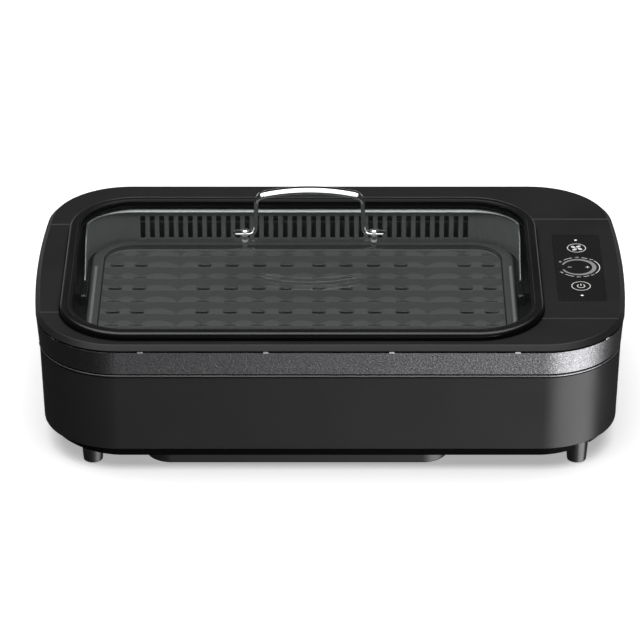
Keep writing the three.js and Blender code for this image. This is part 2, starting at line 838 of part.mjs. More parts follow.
// Steel liner: flange under the ledge, shelf for plate and guard, sloped floor with a mouth
function makeLiner() {
  const wallShape = grow(opening, -linerInset);
  const wallBack = grow(opening, -linerFaceInset);
  const flange = grow(opening, -linerFlangeInset);
  const rings = [
    [flange, linerTop],
    [wallShape, linerTop],
    [wallShape, shelfTop],
    [lowerShape, shelfTop],
    [lowerShape, floorHigh],
    [mouthShape, floorLow],
    [mouthShape, floorLow - floorLip],
    [grow(mouthShape, sheet), floorLow - floorLip],
    [grow(mouthShape, sheet), floorLow - sheet],
    [grow(lowerShape, sheet), floorHigh - sheet],
    [grow(lowerShape, sheet), shelfTop - sheet],
    [wallBack, shelfTop - sheet],
    [wallBack, linerTop - sheet],
    [flange, linerTop - sheet],
  ];
  const tub = frameOf(rings.map(([shape, z]) => [roundedOutline(shape), z]));
  const smokeWindow = block(opening.left + windowSideMargin, opening.right - windowSideMargin,
    wallShape.back - cutOver, wallBack.back + cutOver, shelfTop + windowSill,
    shelfTop + windowSill + windowHeight);
  const latchWindow = block(wallBack.left - cutOver, wallBack.right + cutOver,
    latchCentreY - latchTailLength / 2 - fitGap, latchCentreY + latchTailLength / 2 + fitGap,
    shelfTop + latchTailLift - fitGap, shelfTop + latchTailLift + latchTailHeight + fitGap);
  return tub.subtract(smokeWindow).subtract(latchWindow);
}

// Smoke guard: rolled rim, a comb of slots, and ends that sweep down to the plate
function makeGuard() {
  const rimRadius = guardRim / 2;
  const rimPoints = Array.from({ length: crestSteps + 1 }, (_, i) => {
    const angle = Math.PI * (1 - i / crestSteps);
    return [rimRadius + rimRadius * Math.cos(angle),
      guardTop - rimRadius + rimRadius * Math.sin(angle)];
  });
  const section = [
    [0, guardFoot],
    ...rimPoints,
    [guardRim, guardTop - guardRimHeight],
    [guardThickness, guardTop - guardRimHeight - guardThickness],
    [guardThickness, guardFoot],
  ];
  const wall = frameOf(section.map(([inset, z]) => [roundedOutline(grow(guardShape, -inset)), z]));
  const end = new THREE.QuadraticBezierCurve(
    new THREE.Vector2(guardEndTopY, guardTop),
    new THREE.Vector2(guardEndTopY - guardRimHeight, guardTop - guardHeight / 2),
    new THREE.Vector2(guardEndFootY, guardFoot)).getPoints(curveSteps);
  const keep = crosswise([
    new THREE.Vector2(guardEndFootY, guardFoot - cutOver),
    new THREE.Vector2(guardShape.back + cutOver, guardFoot - cutOver),
    new THREE.Vector2(guardShape.back + cutOver, guardTop + cutOver),
    new THREE.Vector2(guardEndTopY, guardTop + cutOver),
    ...end,
  ], guardShape.left - cutOver, guardShape.right + cutOver);
  const half = Math.floor(((guardShape.right - guardShape.left) / 2 - guardRadius) / slotPitch);
  const slotCount = 2 * half + 1;
  const comb = Array.from({ length: slotCount }, (_, i) => {
    const x = openingCentreX + (i - (slotCount - 1) / 2) * slotPitch;
    return block(x - slotWidth / 2, x + slotWidth / 2, guardShape.back - guardRim - cutOver,
      guardShape.back + cutOver, guardFoot + slotSill, guardFoot + slotSill + slotHeight);
  });
  return wall.intersect(keep).subtract(union(comb));
}

// Raised strip of the cooking field: straight in front, scalloped behind
function padOutline(front, half) {
  const padReach = half - padEndMargin;
  const shares = [1, ...[...valleyShares].reverse(), ...valleyShares.map((share) => -share), -1];
  const places = shares.map((share) => share * padReach);
  const valley = front + padValleyDepth;
  const rise = padDepth - padValleyDepth;
  const points = [
    new THREE.Vector2(openingCentreX - half, front),
    new THREE.Vector2(openingCentreX + half, front),
    new THREE.Vector2(openingCentreX + half, valley),
  ];
  for (let i = 0; i < places.length - 1; i++) {
    for (let k = i === 0 ? 0 : 1; k <= domeSteps; k++) {
      const x = places[i] + ((places[i + 1] - places[i]) * k) / domeSteps;
      const y = valley + rise * Math.sin((Math.PI * k) / domeSteps);
      points.push(new THREE.Vector2(openingCentreX + x, y));
    }
  }
  points.push(new THREE.Vector2(openingCentreX - half, valley));
  return points;
}

function makePlate() {
  const field = {
    left: plateShape.left + fieldSideMargin,
    right: plateShape.right - fieldSideMargin,
    front: plateShape.front + fieldFrontMargin,
    back: plateShape.back - fieldBackMargin,
    radius: fieldRadius,
  };
  const floor = plateTop - fieldDrop;
  const edge = fieldDrop;
  const body = loft([
    [roundedOutline(plateShape), plateBottom],
    [roundedOutline(plateShape), plateTop - edge],
    [roundedOutline(grow(plateShape, -edge)), plateTop],
  ]);
  const bowl = loft([
    [roundedOutline(field), floor],
    [roundedOutline(grow(field, edge)), plateTop],
    [roundedOutline(grow(field, edge)), plateTop + cutOver],
  ]);
  const half = (field.right - field.left) / 2;
  const lastRow = field.back - lastRowMargin;
  const rowCount = 1 + Math.floor((lastRow - field.front - firstRowMargin) / rowPitch);
  const rows = Array.from({ length: rowCount }, (_, i) => lastRow - i * rowPitch);
  const pads = union(rows.map((front) => prism(padOutline(front, half), floor - edge,
    floor + padHeight)));
  const keep = prism(roundedOutline(field), floor - cutOver, floor + padHeight + cutOver);
  const drains = rows.filter((_, i) => i % 2 === 1).flatMap((front) => [-1, 1]
    .flatMap((way) => drainShares.map((share) => {
      const x = openingCentreX + way * share * (half - padEndMargin);
      const y = front + padValleyDepth;
      return block(x - drainWidth / 2, x + drainWidth / 2, y - drainDepth / 2,
        y + drainDepth / 2, plateBottom - cutOver, plateTop + cutOver);
    })));
  const beads = [plateShape.left + beadOffset, plateShape.right - beadOffset].map((x) => {
    const front = plateShape.front + beadFrontMargin;
    const back = plateShape.back - beadBackMargin;
    const length = back - front - 2 * beadRadius;
    const geometry = new THREE.CapsuleGeometry(beadRadius, length, capSteps, smallSides);
    geometry.translate(x, (front + back) / 2, plateTop);
    return solidOf(geometry);
  });
  return body.subtract(bowl).add(pads.intersect(keep)).add(union(beads))
    .subtract(union(drains));
}

const runY = (i) => elementFrontY + ((elementBackY - elementFrontY) * i) / 3;
const terminalY = (runY(1) + runY(2)) / 2;
const terminalRight = lowerShape.right - 2 * fitGap - sheet;
const terminalLeft = terminalRight - terminalWidth;
const pinX = (terminalLeft + terminalRight) / 2;
const pinPlaces = [terminalY - terminalSpacing / 2, terminalY + terminalSpacing / 2];

// Heating element: one sheathed tube in four runs under the plate
function makeElement() {
  const at = (x, y) => new THREE.Vector3(x, y, tubeCentre);
  const end = terminalLeft - fitGap;
  const path = rounded([
    at(end, pinPlaces[0]),
    at(elementRightX, pinPlaces[0]),
    at(elementRightX, runY(0)),
    at(elementLeftX, runY(0)),
    at(elementLeftX, runY(1)),
    at(elementInnerX, runY(1)),
    at(elementInnerX, runY(2)),
    at(elementLeftX, runY(2)),
    at(elementLeftX, runY(3)),
    at(elementRightX, runY(3)),
    at(elementRightX, pinPlaces[1]),
    at(end, pinPlaces[1]),
  ], tubeBend, bendSteps);
  return rodAlong(path, new THREE.Vector3(0, 0, 1), () => [tubeRadius, tubeRadius], tubeSides);
}

// Strap that holds the element up against the plate
function makeClamp(run, x) {
  const inner = tubeRadius + fitGap;
  const outer = inner + clampSheet;
  const top = plateBottom - fitGap;
  const y = runY(run);
  const arc = (radius, from, to) => arcPoints(y, tubeCentre, radius, from, to, curveSteps);
  const outline = [
    new THREE.Vector2(y - outer - clampFoot, top),
    new THREE.Vector2(y - outer - clampFoot, top - clampSheet),
    new THREE.Vector2(y - outer, top - clampSheet),
    ...arc(outer, Math.PI, 2 * Math.PI),
    new THREE.Vector2(y + outer, top - clampSheet),
    new THREE.Vector2(y + outer + clampFoot, top - clampSheet),
    new THREE.Vector2(y + outer + clampFoot, top),
    new THREE.Vector2(y + inner, top),
    ...arc(inner, 2 * Math.PI, Math.PI),
    new THREE.Vector2(y - inner, top),
  ];
  return crosswise(outline, x - clampWidth / 2, x + clampWidth / 2);
}

function makeTerminalBlock() {
  const body = block(terminalLeft, terminalRight, terminalY - terminalLength / 2,
    terminalY + terminalLength / 2, terminalBottom, terminalBottom + terminalHeight);
  const holes = pinPlaces.map((y) => post(pinX, y, pinRadius + fitGap,
    terminalBottom - cutOver, terminalBottom + pinSeat + fitGap));
  return body.subtract(union(holes));
}

const pinTop = terminalBottom + pinSeat;
const pinBottom = pinTop - pinLength;

function makeSocket() {
  const right = lowerShape.right - fitGap;
  const body = block(right - socketWidth, right, terminalY - terminalLength / 2,
    terminalY + terminalLength / 2, socketBottom, socketTop);
  const holes = pinPlaces.map((y) => post(pinX, y, pinRadius + fitGap,
    pinBottom - fitGap, socketTop + cutOver));
  return body.subtract(union(holes));
}

// Latch at the right of the plate: nose, tail through the liner, stop behind it
function makeLatch() {
  const noseX = plateShape.right + fitGap;
  const backX = noseX + latchDepth;
  const stopX = opening.right - linerFaceInset + fitGap;
  const bottom = shelfTop + fitGap;
  const half = latchLength / 2;
  const nose = loft([
    [roundedOutline({ left: noseX, right: backX, front: latchCentreY - half,
      back: latchCentreY + half, radius: latchNose / 2 }, lipSteps), bottom],
    [roundedOutline({ left: noseX, right: backX, front: latchCentreY - half,
      back: latchCentreY + half, radius: latchNose / 2 }, lipSteps), bottom + latchHeight - latchNose],
    [roundedOutline({ left: noseX + latchNose, right: backX, front: latchCentreY - half,
      back: latchCentreY + half, radius: latchNose / 2 }, lipSteps), bottom + latchHeight],
  ]);
  const tail = block(backX - latchNose, stopX + latchStopThickness,
    latchCentreY - latchTailLength / 2, latchCentreY + latchTailLength / 2,
    shelfTop + latchTailLift, shelfTop + latchTailLift + latchTailHeight);
  const stop = block(stopX, stopX + latchStopThickness, latchCentreY - latchStopLength / 2,
    latchCentreY + latchStopLength / 2, bottom, bottom + latchHeight);
  return union([nose, tail, stop]);
}

// Water tray: a drafted pan with a turned-out rim
function makeTray() {
  const top = trayBottom + trayHeight;
  const body = grow(trayShape, -trayRim);
  const foot = grow(body, -trayDraft);
  return loft([
    [roundedOutline(foot), trayBottom],
    [roundedOutline(body), top - trayRimHeight],
    [roundedOutline(trayShape), top - trayRimHeight],
    [roundedOutline(trayShape), top],
  ]).subtract(loft([
    [roundedOutline(grow(foot, -trayWall)), trayBottom + trayWall],
    [roundedOutline(grow(body, -trayWall)), top],
    [roundedOutline(grow(body, -trayWall)), top + cutOver],
  ]));
}

// Rim of the lid: round crest outside, a groove for the glass inside, a foot below
function makeRim() {
  const crestRadius = rimCrestInset - rimGap;
  const crest = Array.from({ length: crestSteps + 1 }, (_, i) => {
    const angle = (Math.PI / 2) * (i / crestSteps);
    return [rimCrestInset - crestRadius * Math.cos(angle),
      rimTop - rimCrestDrop + rimCrestDrop * Math.sin(angle)];
  });
  const lip = glassTop + fitGap;
  const jaw = glassBottom - fitGap;
  const footInset = rimGap + rimFootWidth;
  const section = [
    [rimGap, rimFoot],
    ...crest,
    [(rimCrestInset + rimWidth) / 2, rimTop - (rimTop - lip) / 4],
    [rimWidth, lip + (rimTop - lip) / 4],
    [rimWidth, lip],
    [glassInset - fitGap, lip],
    [glassInset - fitGap, jaw],
    [rimWidth, jaw],
    [rimWidth, jaw - rimJawThickness],
    [footInset, rimFoot + rimFootHeight],
    [footInset, rimFoot],
  ];
  return frameOf(section.map(([inset, z]) => [roundedOutline(grow(opening, -inset)), z]));
}

const screwPlaces = [handleCentreX - handleScrewSpacing / 2, handleCentreX + handleScrewSpacing / 2];

function makeGlass() {
  const holes = screwPlaces.map((x) => post(x, handleY, screwRadius + fitGap,
    glassBottom - cutOver, glassTop + cutOver));
  return prism(roundedOutline(grow(opening, -glassInset)), glassBottom, glassTop)
    .subtract(union(holes));
}

function makeHandle() {
  const top = glassTop + handleRise - handleRodRadius;
  const footEnd = handleScrewSpacing / 2 + handleFootReach;
  const leg = handleLegSpacing / 2;
  const shoulder = handleTopSpacing / 2;
  const at = (x, z) => new THREE.Vector3(handleCentreX + x, handleY, z);
  const half = [
    ...rounded([
      at(-footEnd + tabHalfWidth, tabCentre),
      at(-leg, tabCentre),
      at(-leg - (shoulder - leg) / 2, (tabCentre + top) / 2),
    ], handleFootBend, bendSteps).slice(0, -1),
    ...rounded([
      at(-leg, tabCentre + handleFootBend),
      at(-shoulder, top - gripArch),
      at(0, top),
    ], handleTopBend, curveSteps).slice(1, -1),
    at(-shoulder / 2, top - gripArch / 3),
    at(0, top),
  ];
  const tip = at(-footEnd + tabHalfWidth / 3, tabCentre);
  const end = at(-footEnd, tabCentre);
  const left = [end, tip, ...half];
  const right = [...left].reverse().slice(1).map((point) => {
    const mirrored = point.clone();
    mirrored.x = 2 * handleCentreX - point.x;
    return mirrored;
  });
  const path = [...left, ...right];
  const bendStart = handleCentreX - leg - handleFootBend;
  const halfWidths = (i) => {
    const point = path[i];
    const x = -Math.abs(point.x - handleCentreX) + handleCentreX;
    if (x === end.x) return [tabHalfWidth / 2, tabHalfThickness];
    if (x <= bendStart) return [tabHalfWidth, tabHalfThickness];
    if (point.z > top - handleRodRadius) return [gripHalfWidth, handleRodRadius];
    return [handleRodRadius, handleRodRadius];
  };
  const rod = rodAlong(path, new THREE.Vector3(0, 1, 0), halfWidths, rodSides);
  const holes = screwPlaces.map((x) => post(x, handleY, screwRadius + fitGap,
    tabCentre - cutOver, tabCentre + cutOver));
  return rod.subtract(union(holes));
}

// Screw through handle foot, washers, glass and nut, drawn about its own axis
function makeHandleScrew() {
  const headBottom = tabCentre + tabHalfThickness + fitGap;
  const nutBottom = glassBottom - fitGap - washerThickness - fitGap - nutHeight;
  return turned([
    [0, nutBottom - screwTail],
    [screwRadius, nutBottom - screwTail],
    [screwRadius, headBottom],
    [screwHeadRadius, headBottom],
    [screwHeadRadius, headBottom + screwHeadHeight / 2],
    [screwHeadRadius / 2, headBottom + screwHeadHeight],
    [0, headBottom + screwHeadHeight],
  ], smallSides);
}

const makeRing = (outer, bottom, top, sides = smallSides) => turned([
  [screwRadius + fitGap, bottom],
  [outer, bottom],
  [outer, top],
  [screwRadius + fitGap, top],
], sides);

function makeFoot() {
  const top = footHeight - fitGap;
  return turned([
    [footBoreRadius, 0],
    [footBottomRadius - fitGap, 0],
    [footBottomRadius, fitGap],
    [footTopRadius, top],
    [footScrewRadius + fitGap, top],
    [footScrewRadius + fitGap, top - footWeb],
    [footBoreRadius, top - footWeb],
  ], footSides);
}

function makeFootScrew() {
  const seat = footHeight - fitGap - footWeb - fitGap;
  return turned([
    [0, seat - footScrewHeadHeight],
    [footScrewHeadRadius, seat - footScrewHeadHeight],
    [footScrewHeadRadius, seat],
    [footScrewRadius, seat],
    [footScrewRadius, seat + footScrewLength],
    [0, seat + footScrewLength],
  ], smallSides);
}

// Scroll: a spiral wall that widens towards a duct to the back
function scrollOutline(offset, outletY) {
  const steps = roundSides;
  const sweep = Math.PI + scrollTongueAngle;
  const points = [];
  for (let i = 0; i <= steps; i++) {
    const angle = Math.PI + (sweep * i) / steps;
    const radius = scrollEndRadius + ((scrollStartRadius - scrollEndRadius) * i) / steps - offset;
    points.push(new THREE.Vector2(fanX + radius * Math.cos(angle), fanY + radius * Math.sin(angle)));
  }
  points.push(new THREE.Vector2(points[steps].x, outletY));
  points.push(new THREE.Vector2(points[0].x, outletY));
  return points;
}

function makeScroll() {
  const inside = prism(scrollOutline(scrollWall, scrollOutletY + cutOver),
    scrollBottom + scrollWall, scrollTop - scrollWall);
  const inlet = post(fanX, fanY, scrollInletRadius, scrollTop - scrollWall - cutOver,
    scrollTop + cutOver, roundSides);
  const shaftHole = post(fanX, fanY, shaftHoleRadius, scrollBottom - cutOver,
    scrollBottom + scrollWall + cutOver);
  return prism(scrollOutline(0, scrollOutletY), scrollBottom, scrollTop)
    .subtract(inside).subtract(inlet).subtract(shaftHole);
}

function makeImpeller() {
  const bottom = scrollBottom + 2 * scrollWall;
  const hub = turned([
    [0, motorTop - shaftDepth],
    [shaftRadius, motorTop - shaftDepth],
    [shaftRadius, bottom],
    [impellerRadius, bottom],
    [impellerRadius, bottom + impellerDisc],
    [impellerHubRadius, bottom + impellerDisc],
    [impellerHubRadius, bottom + impellerHeight / 2],
    [0, bottom + impellerHeight / 2],
  ]);
  const ring = turned([
    [impellerInnerRadius + bladeThickness, bottom + impellerHeight - impellerDisc],
    [impellerRadius, bottom + impellerHeight - impellerDisc],
    [impellerRadius, bottom + impellerHeight],
    [impellerInnerRadius + bladeThickness, bottom + impellerHeight],
  ]);
  const blades = Array.from({ length: bladeCount }, (_, i) => {
    const length = impellerRadius - impellerInnerRadius;
    const geometry = new THREE.BoxGeometry(length, bladeThickness, impellerHeight - impellerDisc);
    geometry.rotateZ(bladeLean);
    geometry.translate((impellerRadius + impellerInnerRadius) / 2 - bladeThickness, 0,
      bottom + impellerHeight / 2);
    geometry.rotateZ((2 * Math.PI * i) / bladeCount);
    return solidOf(geometry);
  });
  return union([hub, ring, ...blades]);
}

function makeMotor() {
  const can = post(fanX, fanY, motorRadius, motorTop - motorHeight, motorTop, roundSides);
  const bore = post(fanX, fanY, shaftRadius + fitGap, motorTop - shaftDepth - fitGap,
    motorTop + cutOver);
  return can.subtract(bore);
}

// Smoke duct: from the window behind the guard, round the corner and over the fan
function ductOutline(wall) {
  const inner = opening.back - linerFaceInset + fitGap;
  return [
    new THREE.Vector2(ductLeftX + wall, inner + wall),
    new THREE.Vector2(ductInnerX + wall, inner + wall),
    new THREE.Vector2(ductInnerX + wall, ductFrontY + wall),
    new THREE.Vector2(ductRightX - wall, ductFrontY + wall),
    new THREE.Vector2(ductRightX - wall, ductShoulderY - wall / 2),
    new THREE.Vector2(ductCornerX - wall, ductCornerY - wall),
    new THREE.Vector2(ductBendX - wall / 2, ductBackY - wall),
    new THREE.Vector2(ductLeftX + wall, ductBackY - wall),
  ];
}

function makeDuct() {
  const inner = opening.back - linerFaceInset + fitGap;
  const top = ductBottom + ductHeight;
  const inside = prism(ductOutline(ductWall), ductBottom + ductWall, top - ductWall);
  const mouth = block(opening.left + windowSideMargin, opening.right - windowSideMargin,
    inner - cutOver, inner + ductWall + cutOver, shelfTop + windowSill,
    shelfTop + windowSill + Math.min(windowHeight, top - ductWall - shelfTop - windowSill));
  const drop = post(fanX, fanY, scrollInletRadius, ductBottom - cutOver,
    ductBottom + ductWall + cutOver, roundSides);
  return prism(ductOutline(0), ductBottom, top).subtract(inside).subtract(mouth).subtract(drop);
}

function makePowerBoard() {
  const bottom = coverFloorTop + powerBoardPost + fitGap;
  const top = bottom + boardThickness;
  const left = powerBoardX - powerBoardWidth / 2;
  const front = powerBoardY - powerBoardDepth / 2;
  const board = block(left, left + powerBoardWidth, front, front + powerBoardDepth, bottom, top);
  const relay = block(left + relayMargin, left + relayMargin + relayWidth, front + relayMargin,
    front + relayMargin + relayWidth, bottom + boardThickness / 2, top + relayHeight);
  const capacitors = [0, 1].map((k) => post(left + 2 * capacitorRadius,
    powerBoardY + capacitorRadius + k * capacitorPitch, capacitorRadius, bottom + boardThickness / 2,
    top + capacitorHeight));
  const sinkLeft = left + powerBoardWidth - 2 * heatSinkThickness;
  const sink = block(sinkLeft, sinkLeft + heatSinkThickness, powerBoardY - heatSinkLength / 2,
    powerBoardY + heatSinkLength / 2, bottom + boardThickness / 2, top + heatSinkHeight);
  return union([board, relay, sink, ...capacitors]);
}

const inletFace = bodyDepth / 2 - insetAt(inletZ - inletHeight / 2) + 3 * fitGap;
const inletBack = inletFace - inletDepth;

function makeInlet() {
  const upright = (margin, front, back) => block(
    inletX - inletWidth / 2 - margin, inletX + inletWidth / 2 + margin, front, back,
    inletZ - inletHeight / 2 - margin, inletZ + inletHeight / 2 + margin);
  const body = upright(0, inletBack, inletFace + inletFlangeThickness / 2)
    .add(upright(inletFlange, inletFace, inletFace + inletFlangeThickness));
  const cavity = upright(-inletWallThickness, inletBack + inletWallThickness,
    inletFace + inletFlangeThickness + cutOver);
  return body.subtract(cavity).subtract(union(inletPins(fitGap, cutOver)));
}

const inletPins = (around, longer) => [-1, 0, 1].map((k) => {
  const x = inletX + k * inletPinSpacing;
  const z = inletZ + (k === 0 ? inletPinLift : -inletPinLift);
  return block(x - inletPinThickness / 2 - around, x + inletPinThickness / 2 + around,
    inletBack - inletWallThickness / 2 - longer,
    inletBack + (longer ? inletWallThickness + longer : inletPinLength),
    z - inletPinWidth / 2 - around, z + inletPinWidth / 2 + around);
});

// Finishes
const finish = (color, roughness, metalness = 0, extra = {}) => new THREE.MeshStandardMaterial({
  color, roughness, metalness, ...extra,
});
const blackPlastic = finish(0x1c1c1d, 0.45);
const darkPlastic = finish(0x101011, 0.55);
const brushedBand = finish(0x6f6f70, 0.35, 1);
const nonStick = finish(0x343434, 0.5, 0.3);
const steel = finish(0x9a9a9a, 0.35, 1);
const chrome = finish(0xd8d8da, 0.12, 1);
const glass = finish(0xaab4b8, 0.05, 0, { transparent: true, opacity: 0.25 });
const glossBlack = finish(0x0b0b0c, 0.1);
const rubber = finish(0x161616, 0.8);
const silicone = finish(0x2a2a2a, 0.7);
const boardGreen = finish(0x1d4a2a, 0.6);
const ceramic = finish(0xc9c2b4, 0.7);
const lamp = finish(0xe8e8e8, 0.3);
const brass = finish(0xb59a55, 0.35, 1);

const grill = new THREE.Group();

function place(group, name, solid, material, x = 0, y = 0, z = 0) {
  const mesh = new THREE.Mesh(geometryOf(solid), material);
  mesh.name = name;
  mesh.position.set(x, y, z);
  group.add(mesh);
}

const part = () => {
  const group = new THREE.Group();
  grill.add(group);
  return group;
};

const casing = part();
place(casing, 'base_housing', makeCasing(), blackPlastic);
place(casing, 'bottom_cover', makeCover(), darkPlastic);
place(casing, 'well_floor', makeWellFloor(), darkPlastic);
const foot = makeFoot();
const footScrew = makeFootScrew();
for (const [name, x, y] of feet) {
  place(casing, `foot_${name}`, foot, rubber, x, y);
  place(casing, `foot_screw_${name}`, footScrew, steel, x, y);
}

const panels = makeTopPanels();
const top = part();
place(top, 'front_surround', panels.front, blackPlastic);
place(top, 'rear_surround', panels.back, blackPlastic);
place(top, 'left_side_panel', panels.left, blackPlastic);
place(top, 'control_side_panel', makeControlPanel(panels.right), blackPlastic);
place(top, 'trim_band', makeBand(), brushedBand);
place(top, 'control_overlay', makeOverlay(), glossBlack);
const light = post(0, 0, lightRadius, panelTop - overlayThickness, panelTop + lightProud);
place(top, 'fan_light', light, lamp, lightX, fanLightY);
place(top, 'power_light', light, lamp, lightX, powerLightY);
place(top, 'control_board', makeControlBoard(), boardGreen);

const cavity = part();
place(cavity, 'cavity_liner', makeLiner(), steel);
place(cavity, 'smoke_guard', makeGuard(), nonStick);
place(cavity, 'element_socket', makeSocket(), ceramic);

const air = part();
place(air, 'smoke_duct', makeDuct(), steel);
place(air, 'fan_scroll', makeScroll(), darkPlastic);
place(air, 'fan_motor', makeMotor(), steel);
place(air, 'fan_impeller', makeImpeller(), darkPlastic, fanX, fanY);

const power = part();
place(power, 'power_board', makePowerBoard(), boardGreen);
place(power, 'power_inlet', makeInlet(), darkPlastic);
inletPins(0, 0).forEach((pin, i) => place(power, `inlet_pin_${i + 1}`, pin, brass));

const lid = part();
place(lid, 'lid_rim', makeRim(), darkPlastic);
place(lid, 'lid_glass', makeGlass(), glass);
place(lid, 'lid_handle', makeHandle(), chrome);
const upperWasher = makeRing(washerRadius, glassTop + fitGap, glassTop + fitGap + washerThickness);
const underGlass = glassBottom - fitGap;
const lowerWasher = makeRing(washerRadius, underGlass - washerThickness, underGlass);
const nutTop = underGlass - washerThickness - fitGap;
const nut = makeRing(nutRadius, nutTop - nutHeight, nutTop, nutSides);
const handleScrew = makeHandleScrew();
['left', 'right'].forEach((side, i) => {
  place(lid, `handle_screw_${side}`, handleScrew, chrome, screwPlaces[i], handleY);
  place(lid, `handle_nut_${side}`, nut, chrome, screwPlaces[i], handleY);
  place(lid, `upper_washer_${side}`, upperWasher, silicone, screwPlaces[i], handleY);
  place(lid, `lower_washer_${side}`, lowerWasher, silicone, screwPlaces[i], handleY);
});

const cooking = part();
place(cooking, 'grill_plate', makePlate(), nonStick);
place(cooking, 'heating_element', makeElement(), steel);
clampShares.forEach((share, run) => {
  const x = elementLeftX + share * (elementInnerX - elementLeftX);
  place(cooking, `element_clamp_${run + 1}`, makeClamp(run, x), steel);
});
place(cooking, 'terminal_block', makeTerminalBlock(), ceramic);
pinPlaces.forEach((y, i) => place(cooking, `terminal_pin_${i + 1}`,
  post(pinX, y, pinRadius, pinBottom, pinTop), brass));
place(cooking, 'water_tray', makeTray(), darkPlastic);

const latch = makeLatch();
place(part(), 'latch_right', latch, darkPlastic);
const mirrored = solidOf(geometryOf(latch).scale(-1, 1, 1));
place(part(), 'latch_left', mirrored, darkPlastic, 2 * openingCentreX);

export default grill;
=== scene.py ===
"""Smokeless indoor grill, dressed over its CAD frame. Metres, +X right, +Y back, +Z up."""

from math import asin, atan2, copysign, cos, exp, pi, radians, sin, sqrt, tan

import bmesh
import bpy
from mathutils import Euler, Matrix, Vector


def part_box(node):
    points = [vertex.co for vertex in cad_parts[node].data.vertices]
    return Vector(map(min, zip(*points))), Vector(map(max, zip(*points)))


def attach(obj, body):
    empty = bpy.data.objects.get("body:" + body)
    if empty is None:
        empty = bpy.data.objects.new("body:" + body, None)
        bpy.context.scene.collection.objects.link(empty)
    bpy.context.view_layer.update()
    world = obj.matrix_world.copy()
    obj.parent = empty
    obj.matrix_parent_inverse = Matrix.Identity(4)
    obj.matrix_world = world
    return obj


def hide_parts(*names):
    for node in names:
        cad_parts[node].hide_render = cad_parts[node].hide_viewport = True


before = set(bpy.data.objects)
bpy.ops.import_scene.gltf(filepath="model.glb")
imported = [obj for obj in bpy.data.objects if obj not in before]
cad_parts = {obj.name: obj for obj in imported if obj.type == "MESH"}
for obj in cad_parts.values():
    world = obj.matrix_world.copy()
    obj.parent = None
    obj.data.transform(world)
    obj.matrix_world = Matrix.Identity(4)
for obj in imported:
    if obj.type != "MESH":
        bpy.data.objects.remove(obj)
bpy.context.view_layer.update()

bl_info = {
    "name": "Smokeless Indoor Grill",
    "version": (1, 0, 0),
    "blender": (4, 5, 0),
    "location": "3D View > Sidebar > Grill",
    "description": "Builds the dressed pieces of a smokeless indoor grill over its frame",
    "category": "Add Mesh",
}

MM = 0.001
QUARTER = pi / 2

# Heights over the table that several pieces share, in millimetres
COVER_TOP = 22.4
CASING_FOOT = 22.7
LINER_LEDGE = 90.5
PLATE_FOOT = 90.8
PLATE_TOP = 95
CASING_TOP = 96.8
LIP_FOOT = 98.1
RIM_FOOT = 121.3
BAND_TOP = 124.7
PANEL_EDGE = 125
FILM_FOOT = 128.7
PANEL_TOP = 129.5


# Colours and sizes that a user may change

def linear(code):
    """sRGB hex value as a linear colour."""
    shares = [int(code[i:i + 2], 16) / 255 for i in (1, 3, 5)]
    return (*(s / 12.92 if s <= 0.04045 else ((s + 0.055) / 1.055) ** 2.4 for s in shares), 1.0)


def length(name, description, millimetres):
    """Size property with its default in millimetres."""
    return bpy.props.FloatProperty(
        name=name, description=description, default=millimetres * MM,
        unit="LENGTH", subtype="DISTANCE", precision=5)


def turn(name, description, degrees):
    """Angle property with its default in degrees."""
    return bpy.props.FloatProperty(
        name=name, description=description, default=radians(degrees), unit="ROTATION",
        subtype="ANGLE")


def number(name, description, value):
    """Count property."""
    return bpy.props.IntProperty(name=name, description=description, default=value, min=1)


def tint(name, description, code):
    """Colour property with its default as an sRGB hex value."""
    return bpy.props.FloatVectorProperty(
        name=name, description=description, default=linear(code), size=4, subtype="COLOR",
        min=0, max=1)


class GrillCasingSizes(bpy.types.PropertyGroup):
    """Casing wall, bottom cover and feet"""
    width: length("Width", "Width of the casing over its bowed sides", 540)
    depth: length("Depth", "Depth of the casing", 328.2)
    corner: length("Corner radius", "Radius of the casing's corners seen from above", 76)
    tilt: turn("Side tilt", "Turn of the bowed side where it meets the corner", 5.4)
    foot_inset: length("Wall foot inset", "How far the wall's lower edge stands in", 5)
    top_inset: length("Wall top inset", "How far the wall's upper edge stands in", 2.8)
    wall: length("Wall", "Thickness of the moulded wall", 2.5)
    cover_inset: length("Cover inset", "How far the bottom cover stands in", 10)
    cover_rise: length("Cover rise", "How far the cover's lower edge curves up at its ends", 6.5)
    edge: length("Edge radius", "Rounding of the moulded outer edges", 0.9)


class GrillTopSizes(bpy.types.PropertyGroup):
    """Top panels and the trim band under them"""
    chamfer: length("Chamfer", "Sloped edge round the top", 4.5)
    skin: length("Skin", "Thickness of the top panels", 2.5)
    seam: length("Seam", "Gap between two panels", 0.3)
    seam_bevel: length("Seam bevel", "Eased edge along a seam", 1.1)
    ledge_drop: length("Ledge drop", "Depth of the recess that holds the lid", 8.5)
    ledge_width: length("Ledge width", "Width of the ledge under the lid", 8)
    band_foot: length("Band foot inset", "How far the band's lower edge stands in", 2.4)
    band_top: length("Band top inset", "How far the band's upper edge stands in", 0.3)
    band_gap: length("Shadow gap", "Height of the dark gap over the band", 1.5)
    band_lip: length("Band lip", "Height of the bright lip under the band", 1.4)
    clip: length("Clip width", "Width of the tabs that hold the band", 4.5)


